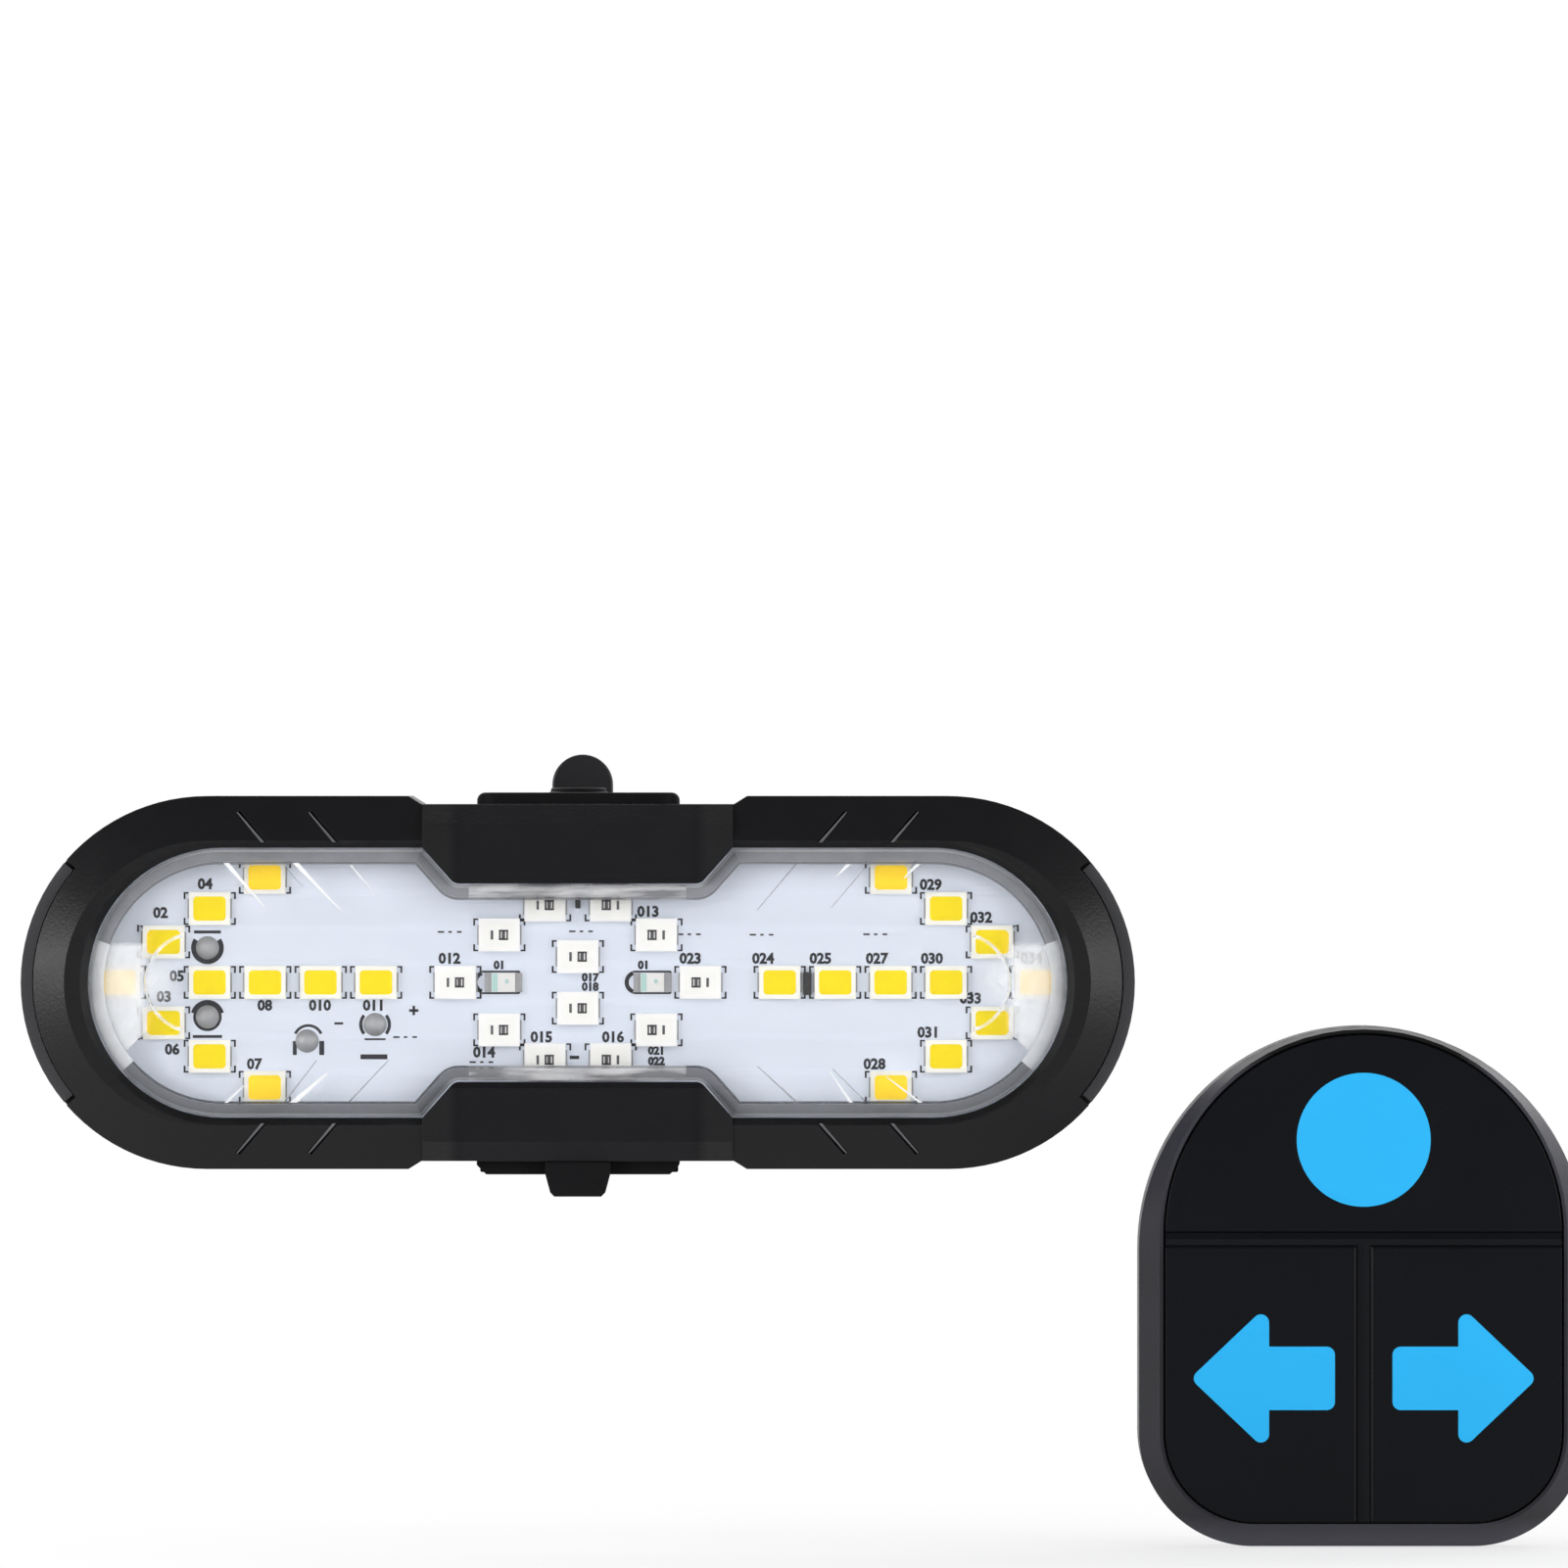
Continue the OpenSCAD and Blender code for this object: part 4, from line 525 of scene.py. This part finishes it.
def digits(bm, text, x, z, size):
    """Plain digits on the board, facing the front."""
    curve = bpy.data.curves.new("digits", "FONT")
    curve.body = text
    curve.size = size * MM
    curve.extrude = DIGIT_T * MM
    curve.offset = DIGIT_BOLD * MM
    curve.resolution_u = 2
    curve.align_x = "CENTER"
    curve.align_y = "CENTER"
    holder = bpy.data.objects.new("digits", curve)
    bpy.context.scene.collection.objects.link(holder)
    bpy.context.view_layer.update()
    mesh = bpy.data.meshes.new_from_object(holder.evaluated_get(bpy.context.evaluated_depsgraph_get()))
    mesh.transform(Matrix.Translation((x * MM, INK_Y, z * MM)) @ Matrix.Rotation(math.pi / 2, 4, "X"))
    bm.from_mesh(mesh)
    bpy.data.objects.remove(holder)
    bpy.data.curves.remove(curve)
    bpy.data.meshes.remove(mesh)


def ink_bar(bm, x, z, w, h):
    prism(bm, rect(x, z, w, h), INK_Y, SUNK_Y)


def ink_arc(bm, x, z, r0, r1, start, sweep, blocks):
    """Part of a ring of ink, in blocks."""
    for i in range(blocks):
        a0, a1 = (math.radians(start + sweep * k / blocks) for k in (i, i + 1))
        prism(bm, [(x + r * math.cos(a), z + r * math.sin(a))
                   for r, a in ((r0, a0), (r1, a0), (r1, a1), (r0, a1))], INK_Y, SUNK_Y)


def silk_marks():
    """All the ink on the board's front."""
    bm = bmesh.new()
    for x, z in AMBER + RED:
        for tick_x, tick_z, w, h in TICKS:
            for side_x in (-1, 1):
                for side_z in (-1, 1):
                    ink_bar(bm, x + side_x * tick_x, z + side_z * tick_z, w, h)
    for numbers, size in ((NUMBERS, NUMBER_SIZE), (SMALL_NUMBERS, SMALL_NUMBER_SIZE)):
        for x, z, text in numbers:
            digits(bm, text, x, z, size)
    for arc in ARCS:
        ink_arc(bm, *arc)
    for bar in BARS:
        ink_bar(bm, *bar)
    for middle in OUTLINES:
        for x, z, w, h in OUTLINE_BARS:
            ink_bar(bm, middle + x, z, w, h)
        ink_arc(bm, middle + OUTLINE_ARC[0], *OUTLINE_ARC[1:])
    for x, z in DASH_ROWS:
        for k, w in enumerate(DASH_WIDTHS):
            ink_bar(bm, x + (k - 1) * DASH_PITCH, z, w, DASH_H)
    piece("silk_marks", bm, INK)


def led_dies():
    """The chip and bond bar that show through each rear LED's clear fill."""
    # Place of each bar from the LED's middle, and its size
    bars = ((-0.62, 0, 0.22, 0.78), (0.06, 0, 0.18, 0.86), (0.36, 0, 0.3, 0.86), (0.68, 0, 0.16, 0.86),
            (0.37, -0.36, 0.8, 0.16), (0.37, 0.36, 0.8, 0.16))
    top, low = LED_Y - 0.01 * MM, LED_Y + 0.05 * MM
    bm = bmesh.new()
    for x, z in RED:
        turn = -1 if x > 1 else 1
        for bar_x, bar_z, w, h in bars:
            prism(bm, rect(x + turn * bar_x, z + bar_z, w, h), top, low)
    piece("led_dies", bm, DIE)


def led_pads():
    """Tinned pads under the ends of each LED package."""
    pad_x, pad_w, pad_h, pad_t = 1.78, 0.22, 1.7, 0.05
    bm = bmesh.new()
    for x, z in AMBER + RED:
        for side in (-1, 1):
            prism(bm, rect(x + side * pad_x, z, pad_w, pad_h), BOARD_Y - pad_t * MM, SUNK_Y)
    piece("led_pads", bm, SOLDER)


def smd_parts():
    """Small chip parts soldered to the board's front."""
    chip_t, corner = 0.45, 0.06
    bm = bmesh.new()
    for x, z, w, h in ((19.57, -0.1, 0.72, 1.95), (0, 6.7, 0.45, 0.8)):
        prism(bm, rect(x, z, w, h), BOARD_Y - chip_t * MM, SUNK_Y)
    bmesh.ops.bevel(bm, geom=bm.edges[:], offset=corner * MM, segments=2, affect="EDGES")
    piece("smd_parts", bm, SWITCH)


def indicator_ends():
    """The plated ends and the tinted window of each indicator LED."""
    # Bars from the LED's middle: place and size, then the heights above the board that they lie between
    plated, plated_t = ((-1.3, 0, 0.62, 1.64), (1.3, 0, 0.62, 1.64)), (0.44, 0.36)
    tinted, tinted_t = ((-0.72, 0, 0.46, 1.52), (0.3, 0.1, 0.3, 0.36)), (0.83, 0.78)
    for name, bars, heights, look in (
            ("indicator_ends", plated, plated_t, SOLDER), ("indicator_tint", tinted, tinted_t, TEAL)):
        top, low = (BOARD_Y - height * MM for height in heights)
        bm = bmesh.new()
        for middle in (-6.35, 6.35):
            for x, z, w, h in bars:
                prism(bm, rect(middle + x, z, w, h), top, low)
        piece(name, bm, look)


# Lens

# Heights above the lens's face that the skins on it lie between
SKIN_TOP = 0.03
SKIN_LOW = 0.005
# Where the bevel's painted reflection and shade change: angles at a scoop, half width at the waist, height of
# the foot
PALE_ANGLES = (-50, 24)
WAIST_HALF = 0.46 * BAR_W
FOOT_Z = -5


def rounded_corner(a, c, b, r):
    """Points of the arc that rounds the corner at c, between the lines to a and to b."""
    steps = 8
    a, c, b = Vector(a), Vector(c), Vector(b)
    u, v = (a - c).normalized(), (b - c).normalized()
    half = u.angle(v) / 2
    middle = c + (u + v).normalized() * r / math.sin(half)
    start = c + u * r / math.tan(half) - middle
    end = c + v * r / math.tan(half) - middle
    turn = math.atan2(start.x * end.y - start.y * end.x, start.dot(end))
    return [tuple(middle + Matrix.Rotation(turn * k / steps, 2) @ start) for k in range(steps + 1)]


def lens_outline(inset):
    """The lens's edge, or a line that far inside it, with the same number of points each time."""
    waist_steps, end_steps = 24, 48
    r = LENS_R - inset
    margin = inset + LENS_CLEAR
    slant = math.atan2(BAR_REACH, BAR_FLARE)
    x0 = BAR_W / 2 + margin * math.tan(slant / 2)
    z0 = BAR_Z - margin
    x1 = x0 + (r - z0) / math.tan(slant)
    left = rounded_corner((-x1, r), (-x0, z0), (x0, z0), BAR_CORNER + margin)
    waist = [(left[-1][0] * (1 - 2 * i / waist_steps), z0) for i in range(1, waist_steps)]
    half = [(-x1, r)] + left + waist + [(-x, z) for x, z in reversed(left)] + [(x1, r)]
    turns = [math.pi * (0.5 - i / end_steps) for i in range(end_steps)]
    half += [(WINDOW_X + r * math.cos(a), r * math.sin(a)) for a in turns]
    return half + [(-x, -z) for x, z in half]


def bevel_look(at):
    """Which of a strip's four looks of painted reflection and shade a place on the bevel has: sides, foot,
    scoops or waist.
    """
    turn = math.degrees(math.atan2(at.z, abs(at.x) - SCOOP_X))
    if abs(at.x) > SCOOP_X and PALE_ANGLES[0] < turn < PALE_ANGLES[1]:
        return 2
    if abs(at.x) < WAIST_HALF:
        return 3
    return 1 if at.z < FOOT_Z else 0


def bevel_strip(name, looks, inner, outer):
    """A thin skin of painted reflection and shade on part of the lens's bevel, between two insets from its
    edge.
    """
    bm = bmesh.new()
    loops = []
    for inset, lift in ((outer, SKIN_TOP), (inner, SKIN_TOP), (inner, SKIN_LOW), (outer, SKIN_LOW)):
        depth = LENS_FALL * (1 - inset / LENS_BEVEL) - lift
        loops.append([bm.verts.new((x * MM, LENS_Y + depth * MM, z * MM)) for x, z in lens_outline(inset)])
    for a, b in zip(loops, loops[1:] + loops[:1]):
        for i in range(len(a)):
            j = (i + 1) % len(a)
            face = bm.faces.new((a[i], a[j], b[j], b[i]))
            face.material_index = bevel_look(face.calc_center_median() / MM)
    obj = piece(name, bm, looks[0])
    for look in looks[1:]:
        obj.data.materials.append(look.material)


def lens_bevel():
    """Painted reflection and shade on the lens's bevel, in three strips: its outer edge, the band and the line
    along its inner edge.
    """
    dark = painted_skin("band_dark", (0.21, 0.215, 0.23), 0.7)
    pale = painted_skin("band_pale", (0.88, 0.89, 0.91), 0.55)
    bevel_strip("lens_edge", (
        painted_skin("edge_pale", (0.52, 0.53, 0.55), 0.7), painted_skin("edge_grey", (0.4, 0.41, 0.43), 0.7), pale,
        streaked("edge_bright", (0.8, 0.8, 0.82), 0.7, 0.45)), inner=0.24, outer=0.02)
    bevel_strip("lens_band", (
        painted_skin("band_grey", (0.31, 0.315, 0.335), 0.66, spread=0.12), dark, pale,
        streaked("band_bright", (0.78, 0.78, 0.8), 0.68, 0.35)), inner=1.06, outer=0.25)
    bevel_strip("lens_line", (
        dark, painted_skin("line_dark", (0.085, 0.09, 0.1), 0.65), pale,
        streaked("line_bright", (0.4, 0.4, 0.42), 0.6, 0.4)), inner=LENS_BEVEL, outer=1.07)


def sheet(bm, grid):
    """A thin closed skin over a grid of (x, depth, z) points, measured from the lens's face."""
    front, back = (
        [[bm.verts.new((x * MM, LENS_Y + (y - lift) * MM, z * MM)) for x, y, z in row] for row in grid]
        for lift in (SKIN_TOP, SKIN_LOW))
    rows, turns = len(grid) - 1, len(grid[0]) - 1
    for side in (front, back):
        for i in range(rows):
            for j in range(turns):
                bm.faces.new((side[i][j], side[i][j + 1], side[i + 1][j + 1], side[i + 1][j]))
    edge = [(0, j) for j in range(turns)] + [(i, turns) for i in range(rows)]
    edge += [(rows, j) for j in range(turns, 0, -1)] + [(i, 0) for i in range(rows, 0, -1)]
    for (a, b), (c, d) in zip(edge, edge[1:] + edge[:1]):
        bm.faces.new((front[a][b], front[c][d], back[c][d], back[a][b]))


def scoop_fan(name, look, angle, inner, outer):
    """Polar skins about each scoop's centre, from a radius to an outer one that is given for each angle."""
    rings, turns = 6, 28
    bm = bmesh.new()
    for end in (-1, 1):
        grid = []
        for i in range(rings + 1):
            row = []
            for j in range(turns + 1):
                a = math.radians(-angle + 2 * angle * j / turns)
                r = inner + (outer(a) - inner) * i / rings
                depth = max(0, r - SCOOP_R) * SCOOP_SLOPE
                row.append((end * (SCOOP_X + r * math.cos(a)), depth, r * math.sin(a)))
            grid.append(row)
        sheet(bm, grid)
    piece(name, bm, look)


def lens_end(a):
    """Distance from a scoop's centre out to the inside of the lens's bevel."""
    margin = 0.03
    out, r = SCOOP_X - WINDOW_X, LENS_R - LENS_BEVEL - margin
    return math.sqrt(r * r - (out * math.sin(a)) ** 2) - out * math.cos(a)


def faded(look, fades):
    """Multiplies a skin's cover by ramps across the lens: weights of |x| and of z, and two limits."""
    across, up = look.split("X"), look.split("Z", fold=False)
    cover = look.bsdf.inputs["Alpha"].links[0].from_socket
    for weight_x, weight_z, low, high in fades:
        along = look.sum(up, weight_z, combine(look.tree, "MULTIPLY", across, weight_x))
        cover = combine(look.tree, "MULTIPLY", cover, look.ramp(along, low * MM, high * MM))
    look.feed("Alpha", cover)
    return look


def scoops():
    """Painted highlights where the scooped ends of the lens catch the light: white skins with a faint painted
    glow outside the moulded line and inside it, and a pale skin along it.
    """
    white = (0.97, 0.975, 0.985)
    line_in, line_out, glow_in, glow_angle = 4.0, 4.3, 1.2, 60
    lean = 1.2
    highlight, glow = painted_skin("scoop_highlight_white", white, 0.32), painted_skin("glow_white", white, 0.38)
    # Painted glow: emission on the two white skins
    for look, strength in ((highlight, 0.14), (glow, 0.03)):
        look.set("Emission Color", (1, 1, 1, 1))
        look.set("Emission Strength", strength)
    leaning = lean * SCOOP_X
    highlight_fades = ((0, 1, 3.5, 3.0), (lean, 1, leaning - 0.4, leaning + 0.9), (1, 0, 36.5, 37.3))
    glow_fades = ((1, 0, SCOOP_X + 1.2, SCOOP_X + 4.2), (0, 1, 2.7, 0.3), (0, 1, -2.3, 0.1))
    scoop_fan("scoop_highlight_skin", faded(highlight, highlight_fades), SCOOP_ANGLE - 1, SCOOP_R, lens_end)
    scoop_fan("scoop_glow", faded(glow, glow_fades), glow_angle, glow_in, lambda a: line_in)
    # Painted highlight along the moulded line
    line = painted_skin("line_pale", (0.95, 0.94, 0.93), 0.26)
    scoop_fan("scoop_line", line, SCOOP_LINE, line_in, lambda a: line_out)


# Painted highlights on the lens's slanted steps: the two ends, and the width at each
HIGHLIGHT_LINES = (
    (-29.9, 10.2, -26.6, 6.4, 0.5, 0.12), (-24.0, 10.2, -20.2, 6.2, 0.55, 0.1),
    (-19.3, 10.0, -16.6, 6.9, 0.16, 0.06), (-29.9, -10.2, -28.0, -8.4, 0.32, 0.08),
    (-24.2, -10.2, -21.3, -7.7, 0.7, 0.3), (29.0, 10.1, 27.8, 8.9, 0.4, 0.1),
    (23.1, 10.1, 22.0, 9.0, 0.42, 0.12), (29.2, -10.2, 26.3, -8.0, 0.34, 0.1),
    (23.3, -10.2, 21.4, -7.5, 0.3, 0.08),
)
# Painted shade on the lens's slanted steps, in the same columns
SHADE_LINES = (
    (-24.9, 9.9, -23.4, 8.2, 0.1, 0.05), (-24.9, -10.1, -22.2, -6.6, 0.14, 0.08),
    (-19.4, -10.1, -16.1, -6.6, 0.16, 0.1), (24.5, 9.8, 21.6, 6.4, 0.1, 0.06),
    (18.6, 10.1, 15.3, 6.2, 0.13, 0.07), (24.5, -10.1, 21.7, -7.3, 0.16, 0.08),
    (18.7, -10.2, 15.3, -7.1, 0.24, 0.1),
)


def slanted_lines(name, lines, look):
    """Thin skins of painted light and shade along the edges of the slanted steps on the lens."""
    bm = bmesh.new()
    for x0, z0, x1, z1, w0, w1 in lines:
        prism(bm, [(x0 - w0 / 2, z0), (x0 + w0 / 2, z0), (x1 + w1 / 2, z1), (x1 - w1 / 2, z1)],
              LENS_Y - SKIN_TOP * MM, LENS_Y - SKIN_LOW * MM)
    piece(name, bm, look)


# Bezel and remote

def groove_highlights():
    """A painted highlight: a pale strip along the lit wall of each slanted groove on the bezel's slope."""
    # Its two sides from the groove's middle line at the inner and at the outer end, and its depths
    ends = ((-1, (-0.06, 0.24)), (1, (0.04, 0.16)))
    depths = (0.05, 0.28)
    run_x, run_z = GROOVE_RUN
    bm = bmesh.new()
    for x in GROOVES:
        for flip_x in (-1, 1):
            for flip_z in (-1, 1):
                corners = []
                for along, sides in ends:
                    at_z = GROOVE_Z + along * run_z
                    fall = max(0, at_z - SLOPE_Z) * SLOPE
                    corners += [(flip_x * (x + along * run_x + side), fall, flip_z * at_z) for side in sides]
                top, low = (
                    [bm.verts.new((cx * MM, FACE_Y + (cy + depth) * MM, cz * MM)) for cx, cy, cz in corners]
                    for depth in depths)
                for side in (top, low):
                    bm.faces.new((side[0], side[1], side[3], side[2]))
                for a, b in ((0, 1), (1, 3), (3, 2), (2, 0)):
                    bm.faces.new((top[a], top[b], low[b], low[a]))
    piece("groove_highlights", bm, GROOVE_HIGHLIGHT)


def key_web():
    """The silicone web in the seams between the remote's keys, with a low ridge along its top."""
    # Its section: across the seam and behind the keys' faces, in millimetres
    section = ((-0.52, 0.14), (0, 0.06), (0.52, 0.14), (0.12, 0.54), (0.12, 1.3), (-0.12, 1.3), (-0.12, 0.54))
    low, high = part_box("round_key")
    left_low, left_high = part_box("left_key")
    seam_z = (low.z + left_high.z) / 2
    seam_x = (left_high.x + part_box("right_key")[0].x) / 2
    bm = bmesh.new()
    rings = [[bm.verts.new((x, low.y + depth * MM, seam_z + side * MM)) for side, depth in section]
             for x in (low.x, high.x)]
    # The upright web ends in a mitre at the level one
    rings += [[bm.verts.new((seam_x + side * MM, low.y + depth * MM, z - abs(side) * MM * mitre))
               for side, depth in section] for z, mitre in ((left_low.z, 0), (seam_z, 1))]
    for a, b in (rings[:2], rings[2:]):
        for i in range(len(section)):
            j = (i + 1) % len(section)
            bm.faces.new((a[i], a[j], b[j], b[i]))
        bm.faces.new(a)
        bm.faces.new(b[::-1])
    piece("key_web", bm, KEY)


# Pieces in the places of CAD solids

def rubber_copy(node, name, width):
    """A rubber piece in the place of a CAD soft solid, with rolled edges."""
    obj = bpy.data.objects.new(name, NODES[node].data.copy())
    bpy.context.scene.collection.objects.link(obj)
    bm = bmesh.new()
    bm.from_mesh(obj.data)
    bmesh.ops.remove_doubles(bm, verts=bm.verts, dist=WELD * MM)
    bm.to_mesh(obj.data)
    bm.free()
    soften(obj, width)
    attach(obj, "set")
    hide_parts(node)


def spring_coil():
    """The latch spring as a smooth wire, in the CAD spring's place."""
    wire, radius, turns = 0.2 * MM, 1.4 * MM, 4
    steps, sides = 40 * turns, 12
    lo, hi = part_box("latch_spring")
    centre = (lo + hi) / 2
    along = Vector((0, 1, 0))
    bm = bmesh.new()
    rings = []
    for i in range(steps + 1):
        turn = 2 * math.pi * turns * i / steps
        out = Vector((math.cos(turn), 0, math.sin(turn)))
        at_y = lo.y + wire + (hi.y - lo.y - 2 * wire) * i / steps
        middle = Vector((centre.x, at_y, centre.z)) + radius * out
        angles = [2 * math.pi * j / sides for j in range(sides)]
        rings.append([bm.verts.new(middle + wire * (math.cos(a) * out + math.sin(a) * along))
                      for a in angles])
    for a, b in zip(rings, rings[1:]):
        for j in range(sides):
            k = (j + 1) % sides
            bm.faces.new((a[j], a[k], b[k], b[j]))
    bm.faces.new(rings[0][::-1])
    bm.faces.new(rings[-1])
    obj = piece("spring_coil", bm, STEEL, smooth=True)
    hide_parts("latch_spring")
    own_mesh(obj)


# Stage: light, floor and camera

# Soft boxes, in metres: name, place, the point it is aimed at, size and watts
LIGHTS = (
    ("left", (-0.85, -0.46, 0.1), (0, -0.06, 0), (0.5, 0.36), 3.8),
    ("right", (0.88, -0.46, 0.1), (0.03, -0.06, -0.01), (0.5, 0.36), 3.0),
    ("front_left", (-0.7, -0.95, 0.13), (0, -0.06, 0), (0.4, 0.5), 4.1),
    ("front_right", (0.74, -0.95, 0.13), (0.03, -0.06, 0), (0.4, 0.5), 3.5),
    ("top", (0.0, 0.64, 0.76), (0, -0.04, 0), (0.8, 0.4), 3.6),
    ("back_left", (-0.6, 0.72, 0.7), (0, -0.04, 0), (0.5, 0.5), 4.6),
    ("back_right", (0.66, 0.72, 0.7), (0.03, -0.04, 0), (0.5, 0.5), 4.6),
)
# Light of the dim room, and the rearward part of a direction at which the white starts and is full
ROOM_LIGHT = 0.26
BEHIND = (0.0, 0.4)
# The floor, in metres: half its size, its gap below the remote, the shadow's middle and reach. Then the share
# of white in the shadow, and the share of the floor's white that gloss shows
FLOOR_HALF = 1.2
FLOOR_GAP = 0.2 * MM
SHADOW_PLACE = (67 * MM, -55 * MM, 0)
SHADOW_REACH = (0.02, 0.12)
SHADOW_WHITE = 0.75
FLOOR_GLOSS = 0.55
# The camera, in metres: its distance from the bezel's face, the width it sees there and that view's middle
VIEW_DISTANCE = 1.4
VIEW_W = 0.1334
VIEW_X = 17.58 * MM
VIEW_Z = 16.92 * MM
# Width of its sensor, in millimetres
SENSOR_W = 36


def soft_box(name, place, aim, size, power):
    light = bpy.data.lights.new(name, "AREA")
    light.shape = "RECTANGLE"
    light.size, light.size_y = size
    light.energy = power
    obj = bpy.data.objects.new(name, light)
    obj.location = place
    obj.rotation_euler = (Vector(aim) - Vector(place)).to_track_quat("-Z", "Y").to_euler()
    bpy.context.scene.collection.objects.link(obj)


def studio():
    """A white background, which gloss shows where it lies behind the object, and a dim room round it."""
    world = bpy.data.worlds.new("studio")
    world.use_nodes = True
    bpy.context.scene.world = world
    tree = world.node_tree
    shown = tree.nodes["Background"]
    shown.inputs["Color"].default_value = (1, 1, 1, 1)
    shown.inputs["Strength"].default_value = 1
    dim = tree.nodes.new("ShaderNodeBackground")
    dim.inputs["Color"].default_value = (0.95, 0.97, 1, 1)
    dim.inputs["Strength"].default_value = ROOM_LIGHT
    place = tree.nodes.new("ShaderNodeTexCoord")
    split = tree.nodes.new("ShaderNodeSeparateXYZ")
    tree.links.new(place.outputs["Generated"], split.inputs["Vector"])
    behind = rescale(tree, split.outputs["Y"], *BEHIND)
    path = tree.nodes.new("ShaderNodeLightPath")
    white = combine(tree, "MULTIPLY", path.outputs["Is Glossy Ray"], behind)
    for ray in ("Is Camera Ray", "Is Transmission Ray"):
        white = combine(tree, "MAXIMUM", path.outputs[ray], white)
    mix_shaders(tree, white, dim, shown, "World Output")


def floor_white():
    """The floor's material: white to the camera, with a soft shadow under the remote."""
    material = bpy.data.materials.new("floor_white")
    material.use_nodes = True
    tree = material.node_tree
    matte = tree.nodes["Principled BSDF"]
    matte.inputs["Base Color"].default_value = (0.88, 0.88, 0.88, 1)
    matte.inputs["Roughness"].default_value = 0.8
    glow = tree.nodes.new("ShaderNodeEmission")
    glow.inputs["Color"].default_value = (1, 1, 1, 1)
    place = tree.nodes.new("ShaderNodeTexCoord")
    away = tree.nodes.new("ShaderNodeVectorMath")
    away.operation = "DISTANCE"
    away.inputs[1].default_value = SHADOW_PLACE
    tree.links.new(place.outputs["Object"], away.inputs[0])
    fade = rescale(tree, away.outputs["Value"], *SHADOW_REACH, SHADOW_WHITE)
    path = tree.nodes.new("ShaderNodeLightPath")
    seen = path.outputs["Is Camera Ray"]
    for ray, share in (("Is Glossy Ray", FLOOR_GLOSS), ("Is Transmission Ray", 1)):
        seen = combine(tree, "MULTIPLY_ADD", path.outputs[ray], share, seen)
    mix_shaders(tree, combine(tree, "MULTIPLY", seen, fade), matte, glow, "Material Output")
    return material


def floor():
    """A white floor under the remote."""
    bm = bmesh.new()
    bmesh.ops.create_grid(bm, x_segments=1, y_segments=1, size=FLOOR_HALF)
    mesh = bpy.data.meshes.new("floor")
    bm.to_mesh(mesh)
    bm.free()
    mesh.materials.append(floor_white())
    obj = bpy.data.objects.new("floor", mesh)
    obj.location = (0, 0, CAD_BOX[0][2] - FLOOR_GAP)
    bpy.context.scene.collection.objects.link(obj)


def camera():
    """Front on, framed as the photograph is."""
    data = bpy.data.cameras.new("camera")
    data.sensor_width = SENSOR_W
    data.lens = SENSOR_W * VIEW_DISTANCE / VIEW_W
    data.clip_start, data.clip_end = 0.01, 10
    obj = bpy.data.objects.new("camera", data)
    obj.location = (VIEW_X, FACE_Y - VIEW_DISTANCE, VIEW_Z)
    obj.rotation_euler = (math.pi / 2, 0, 0)
    bpy.context.scene.collection.objects.link(obj)
    bpy.context.scene.camera = obj


# The whole scene

silk_marks()
led_dies()
led_pads()
smd_parts()
indicator_ends()
lens_bevel()
scoops()
# Painted highlights and painted shade on the lens's slanted steps
slanted_lines("slanted_highlights", HIGHLIGHT_LINES, painted_skin("line_highlight", (0.97, 0.975, 0.985), 0.8))
slanted_lines("slanted_shade", SHADE_LINES, painted_skin("line_shade", (0.24, 0.25, 0.27), 0.42))
groove_highlights()
key_web()
for node, name, width in (
        ("post_strap", "post_strap_rubber", 0.7), ("bar_strap", "bar_strap_rubber", 0.55),
        ("saddle_pad", "saddle_pad_rubber", 0.4), ("bar_pad", "bar_pad_rubber", 0.35)):
    rubber_copy(node, name, width)
rubber_copy("battery_foam", "battery_foam_pad", 0.3)
spring_coil()

studio()
for light in LIGHTS:
    soft_box(*light)
floor()
camera()
bpy.context.scene.view_settings.view_transform = "Standard"
